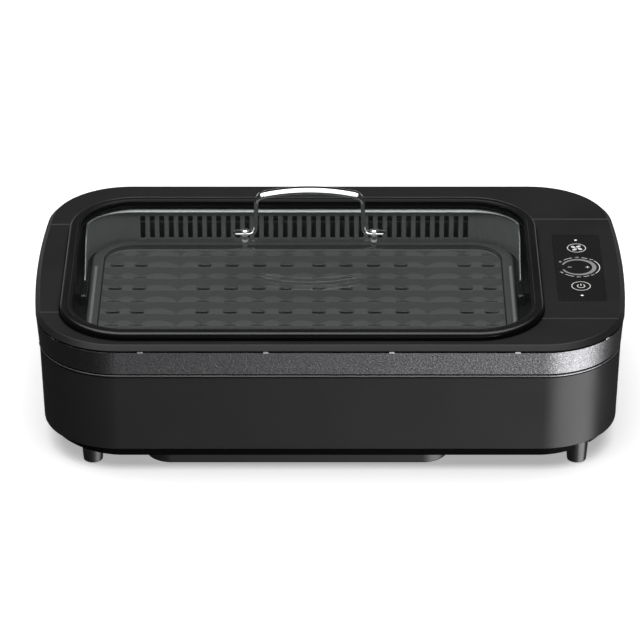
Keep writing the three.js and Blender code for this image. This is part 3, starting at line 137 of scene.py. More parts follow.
class GrillLidSizes(bpy.types.PropertyGroup):
    """Lid: rim, glass and handle"""
    rim_width: length("Rim width", "Width of the lid's rim", 11.4)
    crest_inset: length("Crest inset", "Place of the rim's crest", 5)
    glass_inset: length("Glass inset", "How far the glass stands in from the opening", 6.6)
    handle_y: length("Handle place", "Distance of the handle behind the middle", 45)
    handle_x: length("Handle centre", "Centre of the handle, from the middle", -19.2)
    screw_gap: length("Screw spacing", "Distance between the handle's two screws", 120)
    leg_gap: length("Leg spacing", "Distance between the handle's legs", 100.6)
    rod: length("Rod radius", "Radius of the handle's legs", 2)
    grip: length("Grip half width", "Half width of the handle's broad grip", 4.5)
    groove: length("Grip groove", "Depth of the groove along the grip", 0.9)
    tab: length("Foot half width", "Half width of the handle's flattened feet", 4.4)
    bend: length("Shoulder bend", "Radius of the bend under the grip", 10)
    arch: length("Grip arch", "Rise of the grip's middle over its ends", 6.2)
    grip_tilt: bpy.props.FloatProperty(
        name="Grip tilt", description="Slope of the grip's top towards the front",
        default=0.22)


class GrillGuardSizes(bpy.types.PropertyGroup):
    """Slotted smoke guard"""
    wall: length("Wall", "Thickness of the guard", 1.6)
    rim_height: length("Rim height", "Height of the rolled rim", 4.4)
    top: length("Top", "Height of the rim over the table", 127.2)
    flare_foot: length("Foot flare", "How far the side walls stand out at their foot", 1.8)
    flare_top: length("Top flare", "How far the side walls stand out at their top", 2.7)
    radius: length("Corner radius", "Radius of the guard's back corners", 43)
    pitch: length("Slot pitch", "Distance from slot to slot", 9.01)
    slot: length("Slot width", "Width of a slot", 4.7)
    slot_height: length("Slot height", "Height of a slot", 23.7)
    slot_round: length("Slot corner", "Radius of a slot's corners", 0.7)
    sill: length("Sill", "Height of the slots over the guard's foot", 5.4)
    count: number("Slots", "Number of slots", 35)
    shift: length("Slot shift", "How far the comb stands right of the middle", 1)


class GrillPlateSizes(bpy.types.PropertyGroup):
    """Cooking plate with its rows of scalloped pads"""
    rows: number("Rows", "Number of rows of pads", 10)
    pitch: length("Row pitch", "Distance from row to row", 23.5)
    last_row: length("Last row", "Front of the rear row, from the middle", 83.5)
    pad: length("Pad depth", "Depth of a pad at its widest", 12.7)
    valley: length("Valley depth", "Depth of a row between two pads", 1)
    pad_height: length("Pad height", "Height of the pads over the sunk field", 0.5)
    pad_slope: length("Pad slope", "Width of the slope behind a pad", 3)
    field_drop: length("Field drop", "Depth of the sunk field", 1.8)
    drain: length("Drain length", "Length of a drain slot", 12.4)
    drain_width: length("Drain width", "Width of a drain slot", 4.2)
    drain_line: length("Drain line", "Distance of the drains behind a row's front", 4.3)
    slit_line: length("Slit line", "Distance of the slits behind a row's front", 2.4)
    slit_width: length("Slit width", "Width of the fine marks between drains", 1.2)
    bead: length("Bead radius", "Radius of the two side beads", 1.9)


class GrillControlSizes(bpy.types.PropertyGroup):
    """Printed control strip"""
    key_ring: length("Key ring", "Outer radius of the ring round a key", 8.8)
    key_line: length("Key line", "Line width of the ring round a key", 0.75)
    dial: length("Dial radius", "Outer radius of the temperature ring", 16.2)
    dial_thin: length("Dial end width", "Width of the temperature ring at its ends", 1.9)
    dial_wide: length("Dial width", "Width of the temperature ring at its middle", 3.8)
    scale: length("Scale radius", "Radius of the fine scale round the dial", 19.6)
    scale_line: length("Scale line", "Line width of the fine scale", 0.75)
    figure: length("Figure height", "Height of the figures on the scale", 2.0)
    ink: length("Ink height", "How far the print stands over the film", 0.03)
    lens: length("Light radius", "Radius of an indicator light", 1.4)


class GrillColours(bpy.types.PropertyGroup):
    """Colours of the finishes"""
    casing: tint("Casing", "Satin black ABS", "#1b1b1c")
    # Nearly black: the plastic's own dark colour with painted shade under the casing added
    cover: tint("Bottom cover", "Textured dark polypropylene", "#060607")
    rim: tint("Lid rim", "Black glass-filled nylon", "#080809")
    band: tint("Trim band", "Crinkled dark steel", "#78787a")
    lip: tint("Band lip", "Polished edge of the band", "#8c8c8e")
    coating: tint("Non-stick coating", "Grey non-stick coating", "#838384")
    guard: tint("Guard coating", "Grey coating of the smoke guard", "#b4b4b6")
    flake: tint("Coating flakes", "Pale mineral flakes in the coating", "#8a8a8b")
    enamel: tint("Enamel", "Black enamel of the cavity", "#161617")
    chrome: tint("Chrome", "Polished chrome", "#dcdcde")
    zinc: tint("Zinc", "Galvanised sheet", "#a3a6a8")
    film: tint("Control film", "Printed film of the control strip", "#1a1a1b")
    ink: tint("Ink", "Pale ink of the signs", "#d9d6d4")
    lamp: tint("Indicator", "Unlit indicator light", "#eeeeee")
    foot: tint("Feet", "Dark moulded feet", "#1b1b1c")
    floor: tint("Floor", "Pale floor", "#f1f1f1")


class GrillStudioSizes(bpy.types.PropertyGroup):
    """Camera and light"""
    target: length("Target height", "Height that the camera looks at", 69.5)
    distance: length("Camera distance", "Distance from the camera to its target", 3713)
    elevation: turn("Elevation", "Height of the camera over the horizon", 28)
    focal: bpy.props.FloatProperty(
        name="Focal length", description="Focal length for a 36 mm sensor, in millimetres",
        default=224.9)
    shift: bpy.props.FloatProperty(
        name="Shift", description="Sideways shift as a share of the width", default=-0.01586)
    floor: length("Floor size", "Side of the square floor", 9000)


# Shapes and outlines

finishes = {}


def spaced(start, end, steps):
    """Evenly spaced values, both ends included."""
    return [start + (end - start) * i / steps for i in range(steps + 1)]


def around(steps):
    """Evenly spaced angles of a whole turn."""
    return spaced(0, 2 * pi, steps)[:-1]


def spot(x, y, z):
    """Place or step from millimetres."""
    return Vector((x, y, z)) * MM


def flat(*points):
    """Outline seen from above, from (x, y) points in millimetres."""
    return [(x * MM, y * MM) for x, y in points]


def arc(x, y, radius, start, end, steps):
    """Points of a circle's arc."""
    return [(x + radius * cos(a), y + radius * sin(a)) for a in spaced(start, end, steps)]


class Rounded:
    """Rectangle with round corners, seen from above."""

    def __init__(self, left, right, front, back, radius):
        self.left, self.right, self.front, self.back = left, right, front, back
        self.radius = max(radius, 0.1 * MM)

    def grown(self, by):
        """The same shape, larger by this much all round."""
        return Rounded(self.left - by, self.right + by, self.front - by, self.back + by,
                       self.radius + by)

    def outline(self, steps=16, side_steps=1):
        """Points from the front right corner, counter-clockwise."""
        r = self.radius
        corners = (
            (self.right - r, self.front + r), (self.right - r, self.back - r),
            (self.left + r, self.back - r), (self.left + r, self.front + r))
        points = []
        for i, (x, y) in enumerate(corners):
            points += arc(x, y, r, (i - 1) * QUARTER, i * QUARTER, steps)
            if i % 2 == 0:
                reach = self.back - self.front - 2 * r
                way = 1 - i
                points += [(points[-1][0], y + way * reach * k / side_steps)
                           for k in range(1, side_steps)]
        return points


def rounded(*millimetres):
    """Rounded rectangle from left, right, front, back and radius in millimetres."""
    return Rounded(*(value * MM for value in millimetres))


CORNER_STEPS, SIDE_STEPS = 22, 12
# Steps that give a rounded rectangle as many points as the casing's outline has
MATCHED = (CORNER_STEPS, SIDE_STEPS)
OPENING = rounded(-244.5, 193.2, -152, 126, 62)
GUARD = rounded(-228.05, 176.75, -142.9, 116.9, 43)
PLATE = GUARD.grown(-3.9 * MM)
FIELD = rounded(-213.15, 161.85, -127, 104.2, 28)
FIELD_FLOOR = rounded(-211.2, 159.9, -125, 95.8, 24)
LOWER = rounded(-218.5, 167.2, -136.5, 100, 34)
TRAY = rounded(-161, 101, -134.4, 96.1, 18)
WELL = rounded(-167.15, 107.15, -149.9, 104, 24)
OVERLAY = rounded(207, 250.3, -77.9, 56.2, 4)
MIDDLE_X = (OPENING.left + OPENING.right) / 2
FEET = [spot(x, y, 0) for y in (-136, 136) for x in (-214.7, 223.3)]


def casing_outline(inset):
    """Straight front and back, wide corners and gently bowed sides."""
    sizes = bpy.context.scene.grill_casing
    corner_y = sizes.depth / 2 - sizes.corner
    reach = corner_y / sin(sizes.tilt)
    side_x = sizes.width / 2 - sizes.corner - reach
    corner_x = side_x + reach * cos(sizes.tilt)
    radius, wide = sizes.corner - inset, sizes.corner + reach - inset
    right = arc(corner_x, -corner_y, radius, -QUARTER, -sizes.tilt, CORNER_STEPS)
    right += arc(side_x, 0, wide, -sizes.tilt, sizes.tilt, SIDE_STEPS)[1:-1]
    right += arc(corner_x, corner_y, radius, sizes.tilt, QUARTER, CORNER_STEPS)
    return right + [(-x, -y) for x, y in right]


def eased(corners, steps=4):
    """Open line of (inset, height, radius) corners, in millimetres, with the corners rounded."""
    points = []
    for i, (inset, height, radius) in enumerate(corners):
        here = Vector((inset, height)) * MM
        if radius == 0 or i in (0, len(corners) - 1):
            points.append(here)
            continue
        before = Vector(corners[i - 1][:2]) * MM - here
        after = Vector(corners[i + 1][:2]) * MM - here
        reach = radius * MM / tan(before.angle(after) / 2)
        reach = min(reach, before.length / 2, after.length / 2)
        start = here + before.normalized() * reach
        end = here + after.normalized() * reach
        points += [start.lerp(here, t).lerp(here.lerp(end, t), t) for t in spaced(0, 1, steps)]
    return points


def casing_rings(corners):
    """Rings that follow the casing, from a line of (inset, height, radius)."""
    return [[(x, y, z) for x, y in casing_outline(inset)] for inset, z in eased(corners)]


def shape_rings(shape, corners, *steps):
    """Rings that follow a rounded rectangle, from a line of (inset, height, radius)."""
    return [[(x, y, z) for x, y in shape.grown(-inset).outline(*steps)]
            for inset, z in eased(corners)]


# Meshes and objects

def finish_mesh(mesh, sharp=35):
    """Merges doubles, turns the faces outwards and keeps the real edges crisp."""
    work = bmesh.new()
    work.from_mesh(mesh)
    bmesh.ops.remove_doubles(work, verts=work.verts, dist=0.002 * MM)
    bmesh.ops.recalc_face_normals(work, faces=work.faces)
    work.to_mesh(mesh)
    work.free()
    mesh.shade_smooth()
    mesh.set_sharp_from_angle(angle=radians(sharp))
    return mesh


def new_mesh(name, vertices, edges=(), faces=()):
    """Plain mesh from its points, edges and faces."""
    mesh = bpy.data.meshes.new(name)
    mesh.from_pydata(vertices, edges, faces)
    return mesh


def new_object(name, data):
    """Object with this mesh, light or camera, in the scene."""
    thing = bpy.data.objects.new(name, data)
    bpy.context.scene.collection.objects.link(thing)
    return thing


def loft(name, rings, closed=False, sharp=35):
    """Piece through rings of points: closed on itself, or with a cap at each end."""
    count = len(rings[0])
    vertices = [point for ring in rings for point in ring]
    faces = []
    for j in range(len(rings) if closed else len(rings) - 1):
        a, b = j * count, (j + 1) % len(rings) * count
        faces += [(a + i, a + (i + 1) % count, b + (i + 1) % count, b + i)
                  for i in range(count)]
    if not closed:
        faces.append(tuple(reversed(range(count))))
        faces.append(tuple(range(len(vertices) - count, len(vertices))))
    return new_object(name, finish_mesh(new_mesh(name, vertices, faces=faces), sharp))


def prism(name, outline, bottom, top):
    """Upright piece between two heights in millimetres."""
    return loft(name, [[(x, y, z * MM) for x, y in outline] for z in (bottom, top)])


def turned(name, corners, sides=48, closed=False):
    """Turned piece or ring from a line of (radius, height, rounding), about the Z axis."""
    rings = [[(r * cos(a), r * sin(a), z) for a in around(sides)] for r, z in eased(corners)]
    return loft(name, rings, closed)


def flatten(piece):
    """Applies what the piece's modifiers make, and removes them."""
    graph = bpy.context.evaluated_depsgraph_get()
    mesh = bpy.data.meshes.new_from_object(piece.evaluated_get(graph))
    piece.modifiers.clear()
    old, piece.data = piece.data, mesh
    bpy.data.meshes.remove(old)
    return piece


def combine(piece, operation, *tools):
    """Cuts tools out of a piece, joins them to it, or keeps what lies in both."""
    for tool in tools:
        modifier = piece.modifiers.new("Combine", "BOOLEAN")
        modifier.operation = operation
        modifier.solver = "MANIFOLD"
        modifier.object = tool
    flatten(piece)
    for tool in tools:
        discard(tool)
    finish_mesh(piece.data)
    return piece


def discard(*pieces):
    """Removes helper objects with their meshes."""
    for piece in pieces:
        mesh = piece.data
        bpy.data.objects.remove(piece)
        bpy.data.meshes.remove(mesh)


def join(name, pieces):
    """One object from several."""
    work = bmesh.new()
    for piece in pieces:
        work.from_mesh(piece.data)
    mesh = bpy.data.meshes.new(name)
    work.to_mesh(mesh)
    work.free()
    discard(*pieces)
    return new_object(name, finish_mesh(mesh))


def moved(piece, place=(0, 0, 0), angles=(0, 0, 0)):
    """Turns and moves a piece's mesh."""
    piece.data.transform(Matrix.LocRotScale(Vector(place), Euler(angles), None))
    return piece


def settle(piece, finish, body, slot, *nodes):
    """Gives a finished piece its material, weighted normals and its body, and hides the CAD nodes
    it stands for. The slot is not used.
    """
    piece.data.materials.clear()
    piece.data.materials.append(finishes[finish])
    weigh = piece.modifiers.new("Weighted normals", "WEIGHTED_NORMAL")
    weigh.keep_sharp = True
    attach(piece, body)
    if nodes:
        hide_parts(*nodes)


def dress(finish, *nodes):
    """New material for CAD nodes whose shape is right."""
    for name in nodes:
        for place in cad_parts[name].material_slots:
            place.material = finishes[finish]


# Geometry trees

def add_node(tree, kind, settings=None, inputs=None):
    """Adds a node with its settings, and sets or links its inputs."""
    node = tree.nodes.new(kind)
    for key, value in (settings or {}).items():
        setattr(node, key, value)
    for key, value in (inputs or {}).items():
        if isinstance(value, bpy.types.NodeSocket):
            tree.links.new(value, node.inputs[key])
        else:
            node.inputs[key].default_value = value
    return node


def new_tree(name, **sockets):
    """Geometry tree with a geometry input, named inputs, and a material."""
    tree = bpy.data.node_groups.new(name, "GeometryNodeTree")
    face = tree.interface
    face.new_socket("Geometry", in_out="INPUT", socket_type="NodeSocketGeometry")
    for label, kind in sockets.items():
        face.new_socket(label.replace("_", " "), in_out="INPUT", socket_type="NodeSocket" + kind)
    face.new_socket("Material", in_out="INPUT", socket_type="NodeSocketMaterial")
    face.new_socket("Geometry", in_out="OUTPUT", socket_type="NodeSocketGeometry")
    return tree, add_node(tree, "NodeGroupInput").outputs


def end_tree(tree, inputs, result):
    """Realizes the copies, sets the material and ends the tree."""
    real = add_node(tree, "GeometryNodeRealizeInstances", inputs={0: result})
    painted = add_node(tree, "GeometryNodeSetMaterial",
                       inputs={0: real.outputs[0], "Material": inputs["Material"]})
    add_node(tree, "NodeGroupOutput", inputs={0: painted.outputs[0]})
    return tree


def line_of_copies(tree, inputs):
    """Copies of a tool along a straight line, made real."""
    line = add_node(tree, "GeometryNodeMeshLine", inputs={
        "Count": inputs["Count"], "Start Location": inputs["Start"], "Offset": inputs["Step"]})
    source = add_node(tree, "GeometryNodeObjectInfo", inputs={"Object": inputs["Tool"]})
    copies = add_node(tree, "GeometryNodeInstanceOnPoints", inputs={
        "Points": line.outputs[0], "Instance": source.outputs["Geometry"]})
    return add_node(tree, "GeometryNodeRealizeInstances", inputs={0: copies.outputs[0]}).outputs[0]


def slots_tree():
    """Cuts a line of equal slots out of the piece."""
    tree, inputs = new_tree("Line of slots", Tool="Object", Count="Int", Start="Vector",
                            Step="Vector")
    cut = add_node(tree, "GeometryNodeMeshBoolean",
                   {"operation": "DIFFERENCE", "solver": "MANIFOLD"},
                   {0: inputs["Geometry"], 1: line_of_copies(tree, inputs)})
    return end_tree(tree, inputs, cut.outputs[0])


def rows_tree():
    """Sets a line of equal rows on the piece, trimmed to a field."""
    tree, inputs = new_tree("Rows on a field", Tool="Object", Field="Object", Count="Int",
                            Start="Vector", Step="Vector")
    field = add_node(tree, "GeometryNodeObjectInfo", inputs={"Object": inputs["Field"]})
    trimmed = add_node(tree, "GeometryNodeMeshBoolean",
                       {"operation": "INTERSECT", "solver": "MANIFOLD"},
                       {1: line_of_copies(tree, inputs)})
    tree.links.new(field.outputs["Geometry"], trimmed.inputs[1])
    whole = add_node(tree, "GeometryNodeMeshBoolean",
                     {"operation": "UNION", "solver": "MANIFOLD"}, {1: inputs["Geometry"]})
    tree.links.new(trimmed.outputs[0], whole.inputs[1])
    return end_tree(tree, inputs, whole.outputs[0])


def places_tree():
    """Sets a copy of the tool at each vertex, turned by the vertex's own angles."""
    tree, inputs = new_tree("Copies at places", Tool="Object")
    source = add_node(tree, "GeometryNodeObjectInfo", inputs={"Object": inputs["Tool"]})
    angles = add_node(tree, "GeometryNodeInputNamedAttribute", {"data_type": "FLOAT_VECTOR"},
                      {"Name": "turn"})
    copies = add_node(tree, "GeometryNodeInstanceOnPoints", inputs={
        "Points": inputs["Geometry"], "Instance": source.outputs["Geometry"],
        "Rotation": angles.outputs["Attribute"]})
    return end_tree(tree, inputs, copies.outputs[0])


def tube_tree():
    """Bends a line of edges at its corners and sweeps a round tube along it."""
    tree, inputs = new_tree("Bent tube", Radius="Float", Bend="Float", Sides="Int", Steps="Int")
    path = add_node(tree, "GeometryNodeMeshToCurve", inputs={0: inputs["Geometry"]})
    bent = add_node(tree, "GeometryNodeFilletCurve", {"mode": "POLY"}, {
        "Curve": path.outputs[0], "Count": inputs["Steps"], "Radius": inputs["Bend"],
        "Limit Radius": True})
    circle = add_node(tree, "GeometryNodeCurvePrimitiveCircle",
                      inputs={"Resolution": inputs["Sides"], "Radius": inputs["Radius"]})
    tube = add_node(tree, "GeometryNodeCurveToMesh", inputs={
        "Curve": bent.outputs[0], "Profile Curve": circle.outputs[0], "Fill Caps": True})
    return end_tree(tree, inputs, tube.outputs[0])


def run_tree(piece, tree, **values):
    """Runs a tree on the piece with these inputs, and keeps the plain mesh it makes."""
    modifier = piece.modifiers.new(tree.name, "NODES")
    modifier.node_group = tree
    for item in tree.interface.items_tree:
        key = item.name.replace(" ", "_")
        if item.in_out == "INPUT" and key in values:
            modifier[item.identifier] = values[key]
    flatten(piece)
    finish_mesh(piece.data)
    for tool in values.values():
        if isinstance(tool, bpy.types.Object):
            discard(tool)
    return piece


def at_places(name, tool, places, angles=None):
    """Copies of a tool at a list of places, as one piece."""
    mesh = new_mesh(name, places)
    turns = mesh.attributes.new("turn", "FLOAT_VECTOR", "POINT")
    for value, angle in zip(turns.data, angles or [0] * len(places)):
        value.vector = (0, 0, angle)
    return run_tree(new_object(name, mesh), places_tree(), Tool=tool)


def pill_outline(reach, radius):
    """Outline with round ends along X, from the reach of their centres, in metres."""
    return [*arc(reach, 0, radius, -QUARTER, QUARTER, 8),
            *arc(-reach, 0, radius, QUARTER, 3 * QUARTER, 8)]


def pill(long, wide, bottom, top):
    """Upright tool with round ends, in millimetres, about the Z axis."""
    return prism("pill", pill_outline((long - wide) / 2 * MM, wide / 2 * MM), bottom, top)


# Finishes

def finish_nodes(name, colour, roughness, metallic=0.0, **shader):
    """New material with its plain values set on the shader itself."""
    material = bpy.data.materials.new(name)
    material.use_nodes = True
    tree = material.node_tree
    surface = tree.nodes["Principled BSDF"]
    plain = {"Base Color": colour, "Roughness": roughness, "Metallic": metallic}
    plain.update({key.replace("_", " "): value for key, value in shader.items()})
    for key, value in plain.items():
        surface.inputs[key].default_value = value
    return material, tree, surface


def speckle(tree, size, detail=2.0, squash=1.0, distortion=0.0):
    """Noise on the piece's own coordinates, whose grains measure the given millimetres."""
    place = add_node(tree, "ShaderNodeTexCoord")
    scaled = add_node(tree, "ShaderNodeMapping",
                      inputs={"Vector": place.outputs["Object"], "Scale": (1, 1, squash)})
    return add_node(tree, "ShaderNodeTexNoise", inputs={
        "Vector": scaled.outputs[0], "Scale": 1 / (size * MM), "Detail": detail,
        "Distortion": distortion}).outputs["Fac"]


# Values between which nearly all of a noise pattern lies
PATTERN_LOW, PATTERN_HIGH = 0.3, 0.7


def tint_by(tree, surface, pattern, colour, share):
    """Colour of a surface, a little darker and lighter with a pattern."""
    ramp = add_node(tree, "ShaderNodeValToRGB", inputs={"Fac": pattern})
    low, high = ramp.color_ramp.elements
    low.position, high.position = PATTERN_LOW, PATTERN_HIGH
    low.color = (*(c * (1 - share) for c in colour[:3]), 1)
    high.color = (*(min(1, c * (1 + share)) for c in colour[:3]), 1)
    tree.links.new(ramp.outputs["Color"], surface.inputs["Base Color"])


def gloss_by(tree, surface, pattern, roughness, change):
    """Roughness of a surface, a little lower and higher with a pattern."""
    level = add_node(tree, "ShaderNodeMapRange", inputs={
        "Value": pattern, "From Min": PATTERN_LOW, "From Max": PATTERN_HIGH,
        "To Min": roughness - change, "To Max": roughness + change})
    tree.links.new(level.outputs[0], surface.inputs["Roughness"])


def relief_by(tree, surface, pattern, depth):
    """Shallow relief of a surface from a pattern, its depth in millimetres."""
    bump = add_node(tree, "ShaderNodeBump", inputs={"Height": pattern, "Distance": depth * MM})
    tree.links.new(bump.outputs[0], surface.inputs["Normal"])


def moulded(name, colour, roughness, grain, depth, **shader):
    """Moulded plastic: a fine even grain from the tool, and slow changes of gloss."""
    material, tree, surface = finish_nodes(name, colour, roughness, **shader)
    # Real tool grain is under 0.3 mm; it is drawn at the given size so that it shows
    relief_by(tree, surface, speckle(tree, grain), depth)
    slow = speckle(tree, 60)
    tint_by(tree, surface, slow, colour, 0.06)
    gloss_by(tree, surface, slow, roughness, 0.03)
    return material


def by_height(tree, stops):
    """Painted shade and highlight that follow the piece's height, from a list of (millimetres,
    shade) stops.
    """
    place = add_node(tree, "ShaderNodeTexCoord")
    parts = add_node(tree, "ShaderNodeSeparateXYZ", inputs={0: place.outputs["Object"]})
    low, high = stops[0][0], stops[-1][0]
    share = add_node(tree, "ShaderNodeMapRange", inputs={
        "Value": parts.outputs["Z"], "From Min": low * MM, "From Max": high * MM})
    ramp = add_node(tree, "ShaderNodeValToRGB", inputs={"Fac": share.outputs[0]})
    points = ramp.color_ramp.elements
    points[0].color, points[1].color = [(stops[i][1],) * 3 + (1,) for i in (0, -1)]
    for height, shade in stops[1:-1]:
        points.new((height - low) / (high - low)).color = (shade,) * 3 + (1,)
    return ramp.outputs["Color"]


def coated(name, colour, flake, roughness, metallic=0.0, stops=None):
    """Sprayed non-stick coating: soft orange peel with fine pale mineral flakes. When stops are
    given, painted shade and highlight by height are multiplied into its colour.
    """
    material, tree, surface = finish_nodes(name, colour, roughness, metallic)
    # Real flakes are under 0.3 mm; they are drawn at 0.8 mm so that they show
    ramp = add_node(tree, "ShaderNodeValToRGB", inputs={"Fac": speckle(tree, 0.8, 1.0)})
    ground, spark = ramp.color_ramp.elements
    ground.position, spark.position = 0.6, 0.75
    ground.color, spark.color = colour, flake
    shown = ramp.outputs["Color"]
    # Painted shade and highlight: the colour is darkened and lightened by height
    if stops:
        painted_light_by_height = add_node(tree, "ShaderNodeMix", {"data_type": "RGBA", "blend_type": "MULTIPLY"}, {
            "Factor": 1.0, 6: shown, 7: by_height(tree, stops)})
        shown = painted_light_by_height.outputs[2]
    tree.links.new(shown, surface.inputs["Base Color"])
    peel = speckle(tree, 2.2)
    gloss_by(tree, surface, peel, roughness, 0.05)
    relief_by(tree, surface, peel, 0.02)
    return material


def worked_metal(name, colour, roughness, grain=3.0, depth=0.004, change=0.08):
    """Metal whose colour and gloss change a little with how it was worked."""
    material, tree, surface = finish_nodes(name, colour, roughness, 1.0)
    # Scratches are finer than a pixel; only the slow waviness under them is drawn
    pattern = speckle(tree, grain, 3.0)
    tint_by(tree, surface, pattern, colour, change)
    gloss_by(tree, surface, pattern, roughness, roughness * 0.15)
    relief_by(tree, surface, pattern, depth)
    return material


def crinkled_steel(colour):
    """Embossed crinkled steel: flat-lying cells of about 2 by 1 mm catch the light one by one."""
    material, tree, surface = finish_nodes("Crinkled steel", colour, 0.36, 1.0)
    waves = speckle(tree, 1.9, squash=2.2, distortion=0.4)
    tint_by(tree, surface, waves, colour, 0.32)
    relief_by(tree, surface, waves, 0.34)
    return material


def clear_glass():
    """Tempered float glass: clear, with reflections that grow towards the edge of view."""
    material = bpy.data.materials.new("Tempered float glass")
    material.use_nodes = True
    tree = material.node_tree
    tree.nodes.clear()
    clear = add_node(tree, "ShaderNodeBsdfTransparent", inputs={"Color": linear("#fafcfb")})
    gloss = add_node(tree, "ShaderNodeBsdfGlossy", inputs={"Roughness": 0.02})
    facing = add_node(tree, "ShaderNodeLayerWeight", inputs={"Blend": 0.5})
    steep = add_node(tree, "ShaderNodeMath", {"operation": "POWER"},
                     {0: facing.outputs["Facing"], 1: 5.0})
    # Glass reflects 4 % of the light straight on, and all of it at a grazing angle
    share = add_node(tree, "ShaderNodeMath", {"operation": "MULTIPLY_ADD"},
                     {0: steep.outputs[0], 1: 0.96, 2: 0.04})
    both = add_node(tree, "ShaderNodeMixShader",
                    inputs={0: share.outputs[0], 1: clear.outputs[0], 2: gloss.outputs[0]})
    add_node(tree, "ShaderNodeOutputMaterial", inputs={"Surface": both.outputs[0]})
    return material


def plain_finish(name, colour, roughness, grain, **shader):
    """Small smooth part with faint changes of gloss."""
    return moulded(name, colour, roughness, grain, 0.003, **shader)


def make_finishes():
    """All finishes by a short name."""
    tone = bpy.context.scene.grill_colours
    finishes.update({
        # Satin ABS from an etched tool gives a soft even sheen with no sparkle
        "casing": moulded("Satin moulded ABS", tone.casing, 0.38, 0.9, 0.008,
                          Specular_IOR_Level=0.3),
        # A coarser etch under the casing scatters the light and stays dull. Its nearly black
        # colour is partly the plastic's own and partly painted shade under the casing
        "cover": moulded("Etched moulded polypropylene", tone.cover, 0.58, 1.2, 0.03,
                         Specular_IOR_Level=0.03),
        # The well has the casing's finish, and catches more light than the dark cover
        "well": moulded("Satin moulded ABS well", tone.casing, 0.4, 0.9, 0.008),
        # Glass-filled nylon is blacker and glossier on its crest than the ABS round it
        "rim": moulded("Glass-filled nylon", tone.rim, 0.3, 0.8, 0.003),
        # Rolled crinkles break the light on the band into small flat-lying flecks
        "band": crinkled_steel(tone.band),
        # The band's rolled lip is polished by its tool and catches a thin bright line
        "lip": worked_metal("Rolled steel edge", tone.lip, 0.4, 2.0, 0.001, 0.02),
        # The stamped tabs over the band are the brightest small spots of the trim
        "tab": worked_metal("Bright stamped steel tab", linear("#e4e4e6"), 0.3, 2.0),
        # A black strip fills the groove over the lip: painted shade that reads as a thin black
        # line
        "groove_shade_strip": plain_finish("Black strip of painted groove shade", linear("#040404"), 0.8, 0.5,
                             Specular_IOR_Level=0.1),
        # The sprayed coating looks like dark grey stone, softly lit, never mirror-like
        # Painted shade makes it dark on the field's sloped edge, and painted highlights make it
        # paler on the domes and palest on the beads
        "plate": coated("Non-stick coated cast aluminium", tone.coating, tone.flake, 0.45, stops=[
            (93.22, 0.26), (93.34, 0.37), (93.75, 0.37), (93.85, 0.06), (94.9, 0.06),
            (95, 0.32), (95.3, 0.32), (95.8, 1.0)]),
        # Metal flakes in the guard's coating make its rolled rim shine
        "guard": coated("Non-stick coated sheet", tone.guard, tone.flake, 0.34, 0.45),
        # Enamel over steel reads as deep black with a wet edge highlight
        "enamel": plain_finish("Black enamelled steel", tone.enamel, 0.32, 4.0),
        # The latches are polished by handling, so their edges catch the light
        "latch": plain_finish("Polished moulded nylon latch", linear("#232324"), 0.2, 0.8),
        # Chrome over a polished wire shows the studio as hard white and black streaks
        "chrome": worked_metal("Polished chromed wire", tone.chrome, 0.07, 20, 0.001, 0.02),
        # Zinc, bare steel, sheath and brass inside are duller, each with its own metal's tint
        "zinc": worked_metal("Galvanised sheet", tone.zinc, 0.38, 8.0, 0.005, 0.15),
        "bare": worked_metal("Zinc-plated screw steel", linear("#b9bcc0"), 0.25, 1.0),
        "sheath": worked_metal("Oxidised heater sheath", linear("#5b5048"), 0.45, 4.0, 0.01, 0.3),
        "brass": worked_metal("Turned brass", linear("#c9a85c"), 0.25, 1.0),
        # The glass shows what lies under it, with a pale reflection at a low angle
        "glass": clear_glass(),
        # Printed film is smoother and glossier than the etched plastic round it
        "film": plain_finish("Printed polycarbonate film", tone.film, 0.2, 1.5),
        # Both inks are matt and even, the signs pale and the dial's ring grey
        "ink": plain_finish("Screen-printed ink", tone.ink, 0.5, 0.3),
        "grey_ink": plain_finish("Screen-printed grey ink", linear("#858585"), 0.5, 0.3),
        # Light pipes and the white nylon washers get a faint painted glow from emission, though
        # neither is lit
        "lamp": plain_finish("Diffusing acrylic light pipe", tone.lamp, 0.3, 0.5,
                             Emission_Color=linear("#ffffff"), Emission_Strength=0.25),
        # The feet are smooth from their tool, with a soft highlight down their side
        "foot": moulded("Moulded nylon foot", tone.foot, 0.34, 0.6, 0.004),
        # Painted glow: the unlit washers emit a little light
        "nylon": plain_finish("Turned white nylon", linear("#e6e6e4"), 0.4, 0.6,
                              Emission_Color=linear("#ffffff"), Emission_Strength=0.1),
        # Pressed steatite is dull and sandy, the board green and lightly woven
        "ceramic": moulded("Pressed steatite", linear("#cbc4b6"), 0.6, 0.5, 0.02),
        "board": moulded("Glass-epoxy circuit board", linear("#1e4b2c"), 0.4, 0.7, 0.01),
    })


# Casing, bottom cover and feet

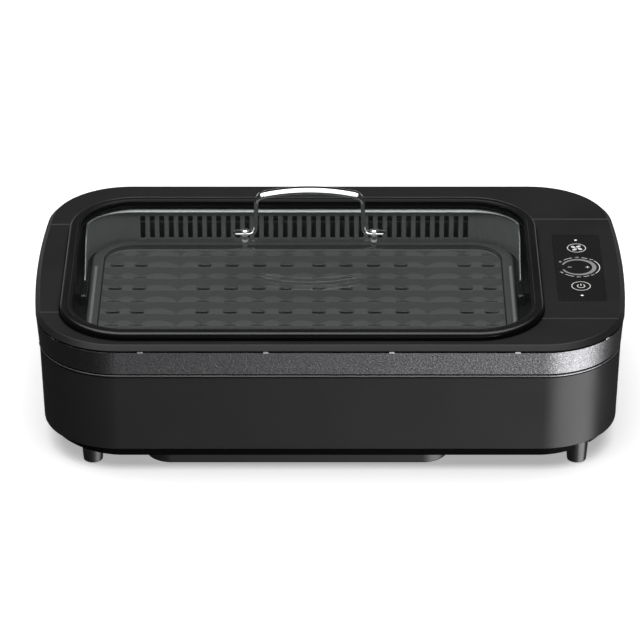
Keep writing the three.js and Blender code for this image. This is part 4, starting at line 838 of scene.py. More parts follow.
def make_shell():
    """Drafted casing wall with its flange, tongue, air outlet slots and inlet hole."""
    sizes = bpy.context.scene.grill_casing
    foot, top = sizes.foot_inset / MM, sizes.top_inset / MM
    edge, wall = sizes.edge / MM, sizes.wall / MM
    shell = loft("casing_shell", casing_rings([
        (foot + 6, CASING_FOOT, 0), (foot, CASING_FOOT, edge), (foot - 0.1, 26, 0),
        (top, CASING_TOP, 0.4), (5.4, CASING_TOP, 0.2), (5.4, 99, 0.2), (6.6, 99, 0.2),
        (6.6, 104, 0.4), (8.6, 104, 0.4), (8.6, 97, 0), (top + wall + 1.9, 97, 0),
        (top + wall, 94.8, 0), (foot + wall, 25.2, 0), (15.5, 25.2, 0.4),
        (15.5, CASING_FOOT, 0.3), (foot + 8, CASING_FOOT, 0)]), closed=True)
    # Five air outlet slots one over the other, and the hole of the mains inlet
    slot = moved(pill(25.6, 3.6, -12, 12), angles=(QUARTER, 0, 0))
    run_tree(shell, slots_tree(), Tool=slot, Count=5, Start=spot(196.6, 160, 49.7),
             Step=spot(0, 0, 6.4))
    hole = prism("hole", rounded(-15.3, 15.3, -11.3, 11.3, 2).outline(6), -12, 12)
    combine(shell, "DIFFERENCE", moved(hole, spot(120, 160, 50), (QUARTER, 0, 0)))
    settle(shell, "casing", "base", "black_plastic", "base_housing")


def cover_rise(x):
    """How far the cover's lower edge stands higher at the casing's round ends."""
    sizes = bpy.context.scene.grill_casing
    start = 180 * MM
    share = (abs(x) - start) / (sizes.width / 2 - sizes.cover_inset - start)
    return sizes.cover_rise * min(1, max(0, share)) ** 1.5


def make_cover():
    """Bottom cover: shallow pan whose ends curve up, open over the well, with the fan's vents."""
    inset = bpy.context.scene.grill_casing.cover_inset / MM
    rings = shape_rings(WELL.grown(0.3 * MM), [(0, 15, 0), (0, 13, 0)], *MATCHED)
    for step, z in eased([(50, 13, 0), (inset, 13, 1.2), (inset, COVER_TOP, 0.3),
                          (24, COVER_TOP, 0), (50, 15, 0)]):
        # Only the outer lower edge curves up
        lifted = step < 20 * MM and z < 16 * MM
        rings.append([(x, y, z + lifted * cover_rise(x)) for x, y in casing_outline(step)])
    cover = loft("bottom_cover_shell", rings, closed=True)
    run_tree(cover, slots_tree(), Tool=pill(34, 3.6, 8, 24), Count=5, Start=spot(222, 27.2, 0),
             Step=spot(0, 6.4, 0))
    combine(cover, "DIFFERENCE", *[
        prism("hole", arc(foot.x, foot.y, 10.6 * MM, 0, 2 * pi, 40)[:-1], 5, 24)
        for foot in FEET])
    settle(cover, "cover", "base", "dark_plastic", "bottom_cover")
    well = loft("water_well", shape_rings(WELL, [
        (3, 3, 0), (0, 3, 2.2), (0, 15.4, 0.3), (2.5, 15.4, 0.3), (2.5, 5.5, 1.2), (6, 5.5, 0)]))
    settle(well, "well", "base", "dark_plastic", "well_floor")


def cross_recess(top, depth, width=0.9, reach=4.2):
    """Cross-shaped cutter for a screw head, in millimetres."""
    bars = []
    for angle in (0, QUARTER):
        bar = prism("bar", rounded(-reach / 2, reach / 2, -width / 2, width / 2, 0.1).outline(2),
                    top - depth, top + 1)
        bars.append(moved(bar, angles=(0, 0, angle)))
    return bars


def make_feet():
    """Four drafted nylon feet with a screw sunk in each."""
    foot = turned("foot", [
        (4.6, 5.5, 0), (4.6, 0.05, 0.4), (8.7, 0.05, 1.0), (10.3, 22, 0.5), (2.3, 22, 0),
        (2.3, 5.2, 0), (4.6, 5.2, 0)], closed=True)
    settle(at_places("feet", foot, FEET), "foot", "base", "rubber", "foot_front_left",
           "foot_front_right", "foot_rear_left", "foot_rear_right")
    screw = turned("screw", [
        (0.01, 2.5, 0), (3.0, 2.5, 0.5), (3.8, 3.4, 0.3), (3.8, 4.9, 0.2), (1.9, 4.9, 0),
        (1.9, 31, 0.5), (0.01, 32.4, 0)], 24)
    combine(screw, "DIFFERENCE", *[moved(bar, spot(0, 0, 7), (pi, 0, 0))
                                   for bar in cross_recess(5, 1.4, 0.8, 3.8)])
    settle(at_places("foot_screws", screw, FEET), "bare", "base", "steel",
           "foot_screw_front_left", "foot_screw_front_right", "foot_screw_rear_left",
           "foot_screw_rear_right")


# Top panels and trim band

def top_ring(name, skirt):
    """Whole top moulding before it is parted, with the given skirt."""
    sizes = bpy.context.scene.grill_top
    slope, skin, ledge = sizes.chamfer / MM, sizes.skin / MM, sizes.ledge_width / MM
    ledge_top = PANEL_TOP - sizes.ledge_drop / MM
    ledge_foot = ledge_top - 2.2
    rings = casing_rings(skirt + [(0, PANEL_EDGE, 0.25), (slope, PANEL_TOP, 1.6),
                                  (slope + 2, PANEL_TOP, 0)])
    rings += shape_rings(OPENING, [
        (-1.6, PANEL_TOP, 0), (0, PANEL_TOP, 0.9), (0, ledge_top, 0.5), (ledge, ledge_top, 0.4),
        (ledge, ledge_foot, 0.3), (-2.2, ledge_foot, 0), (-2.2, PANEL_TOP - skin, 0)], *MATCHED)
    return loft(name, rings, closed=True)


# Distances of the seams behind the middle, left and right, and the reach of what parts them
LEFT_SEAMS, RIGHT_SEAMS = (-97.8, 78.5), (-109.8, 89.4)
REACH = 300


def seam_tool(left, right, y):
    """Diamond bar that eases both edges of a seam, in millimetres."""
    half = bpy.context.scene.grill_top.seam_bevel / MM
    ring = [(y - half, PANEL_TOP), (y, PANEL_TOP - half), (y + half, PANEL_TOP),
            (y, PANEL_TOP + half)]
    return loft("seam", [[spot(x, *point) for point in ring] for x in (left, right)])


def keep_block(left, right, front, back):
    """Upright block for parting the top, in millimetres."""
    outline = flat((left, front), (right, front), (right, back), (left, back))
    return prism("keep", outline, 90, 135)


def front_keep():
    """Block in front of the front seams, which stand at different places left and right."""
    gap = bpy.context.scene.grill_top.seam / MM / 2
    left = keep_block(-REACH, 0, -REACH, LEFT_SEAMS[0] - gap)
    return combine(left, "UNION", keep_block(-1, REACH, -REACH, RIGHT_SEAMS[0] - gap))


def make_panels():
    """Four top panels parted by seams."""
    gap = bpy.context.scene.grill_top.seam / MM / 2
    # The front panel's skirt stands behind the band, the others' are seen from outside
    inner = [(4.3, 127, 0), (4.3, PANEL_EDGE, 0), (6.4, 99.3, 0), (3.9, 99.3, 0),
             (1.8, PANEL_EDGE, 0)]
    outer = [(3.1, 127, 0), (3.1, PANEL_EDGE, 0), (5.1, 99.3, 0), (2.6, 99.3, 0.4),
             (0.6, PANEL_EDGE, 0)]
    back = combine(keep_block(-REACH, 0, LEFT_SEAMS[1] + gap, REACH), "UNION",
                   keep_block(-1, REACH, RIGHT_SEAMS[1] + gap, REACH))
    left = keep_block(-REACH, 0, LEFT_SEAMS[0] + gap, LEFT_SEAMS[1] - gap)
    right = keep_block(0, REACH, RIGHT_SEAMS[0] + gap, RIGHT_SEAMS[1] - gap)
    panels = {}
    for name, skirt, keep, node in (
            ("front_panel", inner, front_keep(), "front_surround"),
            ("rear_panel", outer, back, "rear_surround"),
            ("left_panel", outer, left, "left_side_panel"),
            ("control_panel", outer, right, "control_side_panel")):
        panel = combine(top_ring(name, skirt), "INTERSECT", keep)
        bars = [seam_tool(-REACH, 0, y) for y in LEFT_SEAMS]
        bars += [seam_tool(0, REACH, y) for y in RIGHT_SEAMS]
        panels[node] = combine(panel, "DIFFERENCE", *bars)
    pocket = prism("pocket", OVERLAY.grown(0.3 * MM).outline(6), FILM_FOOT - 0.3, 132)
    combine(panels["control_side_panel"], "DIFFERENCE", pocket)
    for node, panel in panels.items():
        settle(panel, "casing", "base", "black_plastic", node)


def make_band():
    """Crinkled band over a black strip of painted groove shade and a bright lip, and the tabs that
    hold it.
    """
    sizes = bpy.context.scene.grill_top
    gap, lip = sizes.band_gap / MM, sizes.band_lip / MM
    foot, top = sizes.band_foot / MM, sizes.band_top / MM
    low, high = LIP_FOOT + lip, BAND_TOP - gap
    groove_top = low + 1.35
    band = loft("crinkled_band", casing_rings([
        (foot + 1.2, groove_top, 0), (foot - 0.2, groove_top, 0.2), (top + 0.15, high, 0.3),
        (top + 0.7, high, 0), (top + 1.4, high - 1, 0), (foot + 1.2, low + 2, 0)]), closed=True)
    settle(combine(band, "INTERSECT", front_keep()), "band", "base", "trim_metal",
           "trim_band")
    edge = loft("band_lip", casing_rings([
        (foot + 2.2, LIP_FOOT, 0), (foot - 0.5, LIP_FOOT, 0.5), (foot - 0.5, low, 0.6),
        (foot + 1.6, low, 0), (foot + 1.6, low + 1.2, 0), (foot + 2.2, low + 1.2, 0)]),
        closed=True)
    settle(combine(edge, "INTERSECT", front_keep()), "lip", "base", "trim_metal")
    # Black strip in the groove over the lip: painted shade
    groove_shade_strip = loft("band_seal", casing_rings([
        (foot + 0.4, 97, 0), (foot + 0.2, groove_top - 0.05, 0), (foot + 1.1, groove_top - 0.05, 0),
        (foot + 1.1, 97, 0)]), closed=True)
    settle(combine(groove_shade_strip, "INTERSECT", front_keep()), "groove_shade_strip", "base", "rubber")
    half = sizes.clip / MM / 2
    tab = prism("tab", rounded(-half, half, 0.15, 1.5, 0.1).outline(3), high - 0.3, 124.5)
    casing = bpy.context.scene.grill_casing
    front = -casing.depth / 2
    places = [(x * MM, front, 0) for x in (-168.8, -57.1, 54.6, 166.3)]
    angles = [0] * len(places)
    for x in (-246.5, 248.7):
        near = min((point for point in casing_outline(0) if point[1] < 0),
                   key=lambda point: abs(point[0] - x * MM))
        centre_x = (casing.width / 2 - casing.corner) * (1 if x > 0 else -1)
        places.append((*near, 0))
        angles.append(atan2(near[1] - front - casing.corner, near[0] - centre_x) + QUARTER)
    tabs = at_places("band_tabs", tab, places, angles)
    settle(tabs, "tab", "base", "trim_metal")


# Lid, glass and handle

def make_rim():
    """Black rim of the lid: round crest, a fine step, and a groove that holds the glass."""
    sizes = bpy.context.scene.grill_lid
    width, crest = sizes.rim_width / MM, sizes.crest_inset / MM
    glass = sizes.glass_inset / MM
    groove = glass - 0.3
    rim = loft("lid_frame", shape_rings(OPENING, [
        (2, RIM_FOOT, 0), (0.5, RIM_FOOT, 0.3), (0.5, 136.3, 4.4), (crest + 3.4, 136.1, 0.4),
        (crest + 3.7, 135.6, 0.2), (width, 135.4, 0.4), (width, 135.1, 0), (groove, 135.1, 0),
        (groove, 130.5, 0), (width, 130.5, 0.2), (width, 128.9, 0.4), (7, 128.6, 0.5),
        (3.3, 124.1, 0.5), (3.3, RIM_FOOT, 0.3), (2.4, RIM_FOOT, 0)], 24), closed=True)
    settle(rim, "rim", "lid", "rim_plastic", "lid_rim")


def screw_places():
    """Places of the handle's two screws."""
    sizes = bpy.context.scene.grill_lid
    return [(sizes.handle_x + way * sizes.screw_gap / 2, sizes.handle_y, 0) for way in (-1, 1)]


def make_glass():
    """Flat glass with ground edges and two holes."""
    sizes = bpy.context.scene.grill_lid
    glass = loft("glass_pane", shape_rings(OPENING.grown(-sizes.glass_inset), [
        (3, 130.8, 0), (0, 130.8, 0.6), (0, 134.8, 0.6), (3, 134.8, 0)], 24))
    for place in screw_places():
        hole = turned("hole", [(2.3, 120, 0), (2.3, 150, 0)])
        combine(glass, "DIFFERENCE", moved(hole, place))
    settle(glass, "glass", "lid", "glass", "lid_glass")


def handle_path():
    """Left half of the handle's centre line, from foot to middle, with round bends."""
    sizes = bpy.context.scene.grill_lid
    foot_z, top_z = 137.6 * MM, 181.75 * MM
    end, leg = sizes.screw_gap / 2 + 11 * MM, sizes.leg_gap / 2
    # Corners with their bends: foot, leg, shoulder, and the flat arch of the grip
    corners = [(-end, foot_z, 0), (-leg, foot_z, 5 * MM),
               (-leg + 1.1 * MM, top_z - sizes.arch, sizes.bend), (-22 * MM, top_z, 190 * MM),
               (0, top_z, 0)]
    path = [Vector((-end, foot_z))]
    for before, here, after in zip(corners, corners[1:], corners[2:]):
        middle = Vector(here[:2])
        to_before = (Vector(before[:2]) - middle).normalized()
        to_after = (Vector(after[:2]) - middle).normalized()
        reach = here[2] / tan(to_before.angle(to_after) / 2)
        start, stop = middle + to_before * reach, middle + to_after * reach
        gap = (start - path[-1]).length
        steps = max(2, int(gap / (1.2 * MM)))
        path += [path[-1].lerp(start, t) for t in spaced(0, 1, steps)[1:-1]]
        path += [start.lerp(middle, t).lerp(middle.lerp(stop, t), t) for t in spaced(0, 1, 12)]
    last = path[-1]
    path += [last.lerp(Vector((0, top_z)), t) for t in spaced(0, 1, 12)[1:]]
    return path


def smooth(value, low, high):
    """Soft step from 0 at low to 1 at high."""
    share = min(1, max(0, (value - low) / (high - low)))
    return share * share * (3 - 2 * share)


def make_handle():
    """Bent chromed wire: flattened round feet, thin legs and a broad grip."""
    sizes = bpy.context.scene.grill_lid
    half = handle_path()
    path = half + [Vector((-p.x, p.y)) for p in reversed(half[:-1])]
    thick = 1.2 * MM
    grip_start, grip_end = 167 * MM, 178 * MM
    groove_place, groove_width = 0.58, 0.24
    rings = []
    for i, point in enumerate(path):
        forward = (path[min(i + 1, len(path) - 1)] - path[max(i - 1, 0)]).normalized()
        across = Vector((-forward.y, forward.x))
        from_end = min((point - path[0]).length, (point - path[-1]).length)
        x = abs(point.x)
        foot = smooth(x, sizes.leg_gap / 2 - 1 * MM, sizes.leg_gap / 2 + 7 * MM)
        grip = smooth(point.y, grip_start, grip_end)
        wide = sizes.rod + (sizes.tab - sizes.rod) * foot + (sizes.grip - sizes.rod) * grip
        high = sizes.rod + (thick - sizes.rod) * foot
        if from_end < sizes.tab:
            wide = max(0.3 * MM, sqrt(max(0, sizes.tab ** 2 - (sizes.tab - from_end) ** 2)))
            high = thick * (0.55 + 0.45 * from_end / sizes.tab)
        # The section goes from round to a flat oblong at the feet and in the grip
        power = 1 - 0.45 * max(foot, grip * 0.6)
        ring = []
        for a in around(40):
            u = copysign(wide * abs(cos(a)) ** power, cos(a))
            v = copysign(high * abs(sin(a)) ** power, sin(a))
            # A shallow groove parts the top of the grip into two ridges
            if v > 0:
                v -= grip * sizes.groove * exp(-((u / wide + groove_place) / groove_width) ** 2)
            v += grip * sizes.grip_tilt * u
            ring.append((sizes.handle_x + point.x + across.x * v, sizes.handle_y + u,
                         point.y + across.y * v))
        rings.append(ring)
    settle(loft("handle_wire", rings, sharp=50), "chrome", "lid", "chrome", "lid_handle")


def make_handle_fasteners():
    """Screws with a cross recess, soft washers over and under the glass, and nuts."""
    screw = turned("screw", [
        (0.01, 121.1, 0), (1.6, 121.1, 0.2), (2, 121.7, 0.1), (2, 138.9, 0), (3.9, 138.9, 0.3),
        (3.9, 139.8, 0.6), (2.2, 141.2, 1.0), (0.01, 141.3, 0)], 32)
    combine(screw, "DIFFERENCE", *cross_recess(141.3, 1.2))
    settle(at_places("handle_screws", screw, screw_places()), "chrome", "lid", "chrome",
           "handle_screw_left", "handle_screw_right")
    for name, bottom, nodes in (
            ("upper_washers", 135.1, ("upper_washer_left", "upper_washer_right")),
            ("lower_washers", 129.5, ("lower_washer_left", "lower_washer_right"))):
        washer = turned("washer", [
            (2.3, bottom + 0.5, 0), (2.3, bottom, 0.1), (3.1, bottom, 0.2), (3.1, bottom + 1, 0.2),
            (2.3, bottom + 1, 0.1), (2.3, bottom + 0.6, 0)], closed=True)
        settle(at_places(name, washer, screw_places()), "nylon", "lid", "silicone", *nodes)
    nut = turned("nut", [
        (2.3, 127, 0), (2.3, 126, 0.3), (3.9, 126, 0.3), (3.9, 129.2, 0.3), (2.3, 129.2, 0.3),
        (2.3, 128, 0)], 6, closed=True)
    settle(at_places("handle_nuts", nut, screw_places()), "chrome", "lid", "chrome",
           "handle_nut_left", "handle_nut_right")


# Smoke guard

# Place where the guard's rim starts to drop, and how far its ends sweep forwards from there
SWEEP_START, SWEEP_LINE, SWEEP_CURVE = 84, 8, 45
# Share of the guard's height by which its ends drop, and how far the side rims are rolled
SWEEP_DROP, SIDE_ROLL = 0.965, 0.35


def guard_stations():
    """Half of the guard's path from its left end: point, inward normal, top, roll and flare.

    The roll is 0 for a plain edge and 1 for the rim rolled right over.
    """
    sizes = bpy.context.scene.grill_guard
    radius = sizes.radius
    centre_x, centre_y = GUARD.left + radius, GUARD.back - radius
    full, rise = sizes.top, sizes.top - PLATE_FOOT * MM
    stations = []
    for t in spaced(SWEEP_DROP, 0, 30):
        y = (SWEEP_START - SWEEP_LINE * t - SWEEP_CURVE * t * t) * MM
        angle = asin(max(0, y - centre_y) / radius)
        if y < centre_y:
            point, normal = (GUARD.left, y), (1, 0)
        else:
            point = (centre_x - radius * cos(angle), y)
            normal = (cos(angle), -sin(angle))
        roll = SIDE_ROLL * (1 - smooth(t, 0, 0.25))
        stations.append((point, normal, full - rise * t, roll, 1))
    start = asin((SWEEP_START * MM - centre_y) / radius)
    for angle in spaced(start, QUARTER, 16)[1:]:
        back = smooth(angle, start, QUARTER)
        stations.append(((centre_x - radius * cos(angle), centre_y + radius * sin(angle)),
                         (cos(angle), -sin(angle)), full, SIDE_ROLL + (1 - SIDE_ROLL) * back,
                         1 - back))
    return stations


# (Inset, height) points over the guard's edge: plain at the sides, rolled over at the back
PLAIN_EDGE = [(0, -1.2), (0.1, -0.6), (0.35, -0.2), (0.6, -0.05), (0.8, 0), (1, -0.05),
              (1.25, -0.2), (1.45, -0.5), (1.55, -0.9), (1.6, -1.4), (1.6, -2.2)]
ROLLED_EDGE = [(0, -1.2), (0.2, -0.4), (0.7, 0), (2, -0.7), (3.3, -1.5), (3.95, -2.1),
               (4.1, -2.8), (3.6, -3.4), (2.6, -3.7), (1.9, -4), (1.6, -4.4)]


def make_guard():
    """Smoke guard: rolled rim, swept ends and a comb of slots."""
    sizes = bpy.context.scene.grill_guard
    foot = PLATE_FOOT * MM
    half = guard_stations()
    stations = half + [((2 * MIDDLE_X - x, y), (-nx, ny), *rest)
                       for (x, y), (nx, ny), *rest in reversed(half)]
    rings = []
    for (x, y), (nx, ny), top, roll, flare in stations:
        share = min(1, (top - foot) / (1.4 * sizes.rim_height))
        line = [(0, foot)]
        for plain, rolled in zip(PLAIN_EDGE, ROLLED_EDGE):
            inset, drop = Vector(plain).lerp(Vector(rolled), roll) * MM
            line.append((inset, top + drop * share))
        line.append((sizes.wall, foot))
        ring = []
        for inset, z in line:
            lean = (z - foot) / (sizes.top - foot)
            inset -= flare * (sizes.flare_foot + (sizes.flare_top - sizes.flare_foot) * lean)
            ring.append((x + nx * inset, y + ny * inset, z))
        rings.append(ring)
    guard = loft("slotted_guard", rings)
    slot = prism("slot", Rounded(-sizes.slot / 2, sizes.slot / 2, 0, sizes.slot_height,
                                 sizes.slot_round).outline(5), -8, 8)
    moved(slot, angles=(QUARTER, 0, 0))
    start = Vector((MIDDLE_X + sizes.shift - (sizes.count - 1) / 2 * sizes.pitch, GUARD.back,
                    foot + sizes.sill))
    run_tree(guard, slots_tree(), Tool=slot, Count=sizes.count, Start=start,
             Step=(sizes.pitch, 0, 0))
    settle(guard, "guard", "base", "nonstick", "smoke_guard")


# Cooking plate and heating element

# Distances from the plate's middle line, in millimetres, of the valleys between two pads and
# of the drain slots
VALLEYS = (15.2, 40.6, 66.4, 92.2, 115.3, 151.8, 174.3, 202)
DRAINS = (15.2, 40.6, 66.4, 92.2, 151.8, 174.3)


def make_pad_row():
    """One row of low domes: straight in front, scalloped and sloped behind.

    Each ring is a section through the row. It swells between two valleys.
    """
    sizes = bpy.context.scene.grill_plate
    places = [x * MM for x in (*(-v for v in reversed(VALLEYS)), *VALLEYS)]
    floor = PLATE_TOP * MM - sizes.field_drop
    # The row reaches into the plate, so that the two join without a gap
    low, sunk = floor - 1.2 * MM, floor - 0.03 * MM
    rings = []
    for start, end in zip(places, places[1:]):
        for t in spaced(0, 1, 14)[:-1]:
            swell = sin(pi * t) ** 0.6
            x = MIDDLE_X + start + (end - start) * t
            depth = sizes.valley + (sizes.pad - sizes.valley) * swell
            rise = 0.02 * MM + sizes.pad_height * swell
            slope = min(sizes.pad_slope, depth * 0.6)
            section = [(0, low), (0, sunk), (0.1 * MM, floor + rise * 0.4),
                       (depth - slope, floor + rise), (depth - slope * 0.4, floor + rise * 0.75),
                       (depth, sunk), (depth, low)]
            rings.append([(x, y, z) for y, z in section])
    return loft("row", rings)


def row_of(tool_maker, places):
    """Copies of a tool in one row, with none in the middle, as one cutter."""
    tools = [moved(tool_maker(), (MIDDLE_X + way * x * MM, 0, 0)) for x in places
             for way in (-1, 1)]
    return join("row_cutter", tools)


def drain_tool(floor):
    """Cutter of a drain slot, eased where it meets the field's floor, in millimetres."""
    sizes = bpy.context.scene.grill_plate
    reach, radius = (sizes.drain - sizes.drain_width) / 2, sizes.drain_width / 2
    return loft("drain", [
        [(x, y, z * MM) for x, y in pill_outline(reach, radius + grow * MM)]
        for grow, z in ((0, 88), (0, floor - 0.6), (0.6, floor + 0.05), (0.6, 98))])


def make_plate():
    """Die-cast plate: smooth border, sunk field, scalloped rows, drains and side beads."""
    sizes = bpy.context.scene.grill_plate
    floor = PLATE_TOP - sizes.field_drop / MM
    rings = shape_rings(PLATE, [(4, PLATE_FOOT, 0), (0, PLATE_FOOT, 0.5), (0, PLATE_TOP, 1.6),
                                (4, PLATE_TOP, 0)])
    rings += shape_rings(FIELD, [(-1, PLATE_TOP, 0), (0, PLATE_TOP, 0)])
    rings += shape_rings(FIELD_FLOOR, [(-0.8, floor + 0.7, 0), (0, floor, 0.3), (3, floor, 0)])
    plate = loft("cooking_plate", rings)
    start = Vector((0, sizes.last_row, 0))
    step = Vector((0, -sizes.pitch, 0))
    run_tree(plate, rows_tree(), Tool=make_pad_row(),
             Field=prism("field", FIELD.outline(), 91.5, 99), Count=sizes.rows, Start=start,
             Step=step)
    drains = row_of(lambda: drain_tool(floor), DRAINS)
    run_tree(plate, slots_tree(), Tool=drains, Count=sizes.rows // 2,
             Start=start + step + Vector((0, sizes.drain_line, 0)), Step=2 * step)
    slits = row_of(lambda: pill(sizes.drain / MM, sizes.slit_width / MM, floor - 0.5, 98),
                   DRAINS)
    run_tree(plate, slots_tree(), Tool=slits, Count=(sizes.rows + 1) // 2,
             Start=start + Vector((0, sizes.slit_line, 0)), Step=2 * step)
    beads = [make_bead(x * MM) for x in (-219.6, 169.1)]
    combine(plate, "UNION", *beads)
    settle(plate, "plate", "plate", "nonstick", "grill_plate")


def make_bead(x):
    """Long half-round bead with round ends beside the cooking field."""
    radius = bpy.context.scene.grill_plate.bead
    front, back, z = -60 * MM, 58 * MM, PLATE_TOP * MM
    places = [(front + radius - radius * cos(a), radius * sin(a))
              for a in spaced(0.05, QUARTER, 6)]
    places += [(back - radius + radius * sin(a), radius * cos(a))
               for a in spaced(0, QUARTER - 0.05, 6)]
    return loft("bead", [[(x + r * cos(a), y, z + r * sin(a)) for a in around(16)]
                         for y, r in places])


def make_element():
    """Sheathed heating tube in four runs, by its bent path."""
    height = 87.25
    places = [(148.3, -24), (118, -24), (118, -108), (-192, -108), (-192, -44), (82, -44),
              (82, 20), (-192, 20), (-192, 84), (118, 84), (118, 0), (148.3, 0)]
    tube = new_object("heating_tube", new_mesh(
        "heating_tube", [spot(x, y, height) for x, y in places],
        [(i, i + 1) for i in range(len(places) - 1)]))
    run_tree(tube, tube_tree(), Radius=3.25 * MM, Bend=28 * MM, Sides=20, Steps=10)
    settle(tube, "sheath", "plate", "steel", "heating_element")
    dress("zinc", *(f"element_clamp_{i}" for i in range(1, 5)))
    dress("ceramic", "terminal_block", "element_socket")
    dress("brass", "terminal_pin_1", "terminal_pin_2")


# Cavity, latches and tray

def make_liner():
    """Enamelled cavity: flange, shelf, sloped floor with a mouth, and the smoke window."""
    mouth = TRAY.grown(1 * MM)
    rings = shape_rings(OPENING, [(0.4, 118.5, 0), (8.6, 118.5, 0.8), (8.6, LINER_LEDGE, 2.0),
                                  (12, LINER_LEDGE, 0)])
    rings += shape_rings(LOWER, [(-1, LINER_LEDGE, 0), (0, LINER_LEDGE, 0.8), (0, 54.5, 3),
                                 (4, 53.6, 0)])
    rings += shape_rings(mouth, [(-6, 48.8, 0), (0, 47.5, 1.5), (0, 42.5, 0), (-1, 42.5, 0),
                                 (-1, 46.5, 0)])
    rings += shape_rings(LOWER, [(-1, 53.5, 0), (-1, LINER_LEDGE - 1, 0)])
    rings += shape_rings(OPENING, [(7.6, LINER_LEDGE - 1, 0), (7.6, 117.5, 0), (0.4, 117.5, 0)])
    liner = loft("cavity_shell", rings, closed=True)
    window = prism("window", rounded(-182.5, 131.2, 95.5, 116.6, 2).outline(4), -12, 12)
    combine(liner, "DIFFERENCE", moved(window, spot(0, 118, 0), (QUARTER, 0, 0)))
    # One bar through both side walls leaves a hole for each latch's tail
    tails = flat((-REACH, -2.8), (REACH, -2.8), (REACH, 13.8), (-REACH, 13.8))
    combine(liner, "DIFFERENCE", prism("tails", tails, 92, 98.6))
    settle(liner, "enamel", "base", "steel", "cavity_liner")


def make_latches():
    """Sprung latch blocks with a sloped, ribbed nose."""
    foot, top = 90.85, 100.6
    nose = loft("latch", shape_rings(rounded(173.15, 179.65, -10.5, 21.5, 1.2), [
        (1, foot, 0), (0, foot, 0.3), (0, top - 1.2, 0.5), (1.2, top, 0.4), (2.2, top, 0)], 5))
    combine(nose, "DIFFERENCE", *[
        prism("rib", rounded(173.6, 179.2, y - 0.5, y + 0.5, 0.2).outline(2), top - 0.6, 102)
        for y in range(-4, 15, 3)])
    tail = prism("tail", rounded(177.65, 187.9, -2.5, 13.5, 0.4).outline(3), 92.3, 98.3)
    stop = prism("stop", rounded(185.9, 187.9, -6.5, 17.5, 0.4).outline(3), foot, top)
    right = combine(nose, "UNION", tail, stop)
    mirrored = right.data.copy()
    mirrored.transform(Matrix.Scale(-1, 4, (1, 0, 0)))
    mirrored.transform(Matrix.Translation((2 * MIDDLE_X, 0, 0)))
    left = new_object("left_latch", finish_mesh(mirrored))
    right.name = "right_latch"
    settle(right, "latch", "latch_right", "dark_plastic", "latch_right")
    settle(left, "latch", "latch_left", "dark_plastic", "latch_left")


def make_tray():
    """Lift-out water tray with drafted walls and a turned-out rim."""
    tray = loft("drip_tray", shape_rings(TRAY, [
        (12, 5.8, 0), (7, 5.8, 2.5), (3, 41.4, 0), (0.05, 41.4, 0.4),
        (0.05, 43.4, 0.6), (4.8, 43.4, 0.6), (8.8, 7.6, 2.5), (14, 7.6, 0)]))
    settle(tray, "cover", "water_tray", "dark_plastic", "water_tray")


# Controls, inlet and air path

def ring_band(centre, radius, width, start=0, end=2 * pi, steps=64, swell=0):
    """Flat printed ring or part of one, wider by the swell at its middle."""
    x, y = centre
    bottom = PANEL_TOP * MM
    top = bottom + bpy.context.scene.grill_controls.ink
    rings = []
    for i, a in enumerate(spaced(start, end, steps)):
        inner = radius - width - swell * sin(pi * i / steps) ** 2
        rings.append([(x + r * cos(a), y + r * sin(a), z) for r, z in (
            (radius, bottom), (radius, top), (inner, top), (inner, bottom))])
    whole = end - start > 2 * pi - 0.01
    return loft("ring", rings[:-1] if whole else rings, closed=whole)


def printed(outline, centre, angle=0.0):
    """Flat printed sign from its outline in millimetres."""
    ink = bpy.context.scene.grill_controls.ink / MM
    sign = prism("sign", flat(*outline), PANEL_TOP, PANEL_TOP + ink)
    return moved(sign, (*centre, 0), (0, 0, angle))


def figures(text, centre, angle):
    """Generic figures on the dial's scale, as a mesh."""
    sizes = bpy.context.scene.grill_controls
    curve = bpy.data.curves.new("figures", "FONT")
    curve.body = text
    curve.size = sizes.figure * 1.3
    curve.align_x, curve.align_y = "CENTER", "CENTER"
    curve.extrude = sizes.ink / 2
    curve.resolution_u = 2
    holder = new_object("figures", curve)
    graph = bpy.context.evaluated_depsgraph_get()
    graph.update()
    mesh = bpy.data.meshes.new_from_object(holder.evaluated_get(graph))
    bpy.data.objects.remove(holder)
    bpy.data.curves.remove(curve)
    return moved(new_object("figures", mesh), (*centre, PANEL_TOP * MM + sizes.ink / 2),
                 (0, 0, angle))


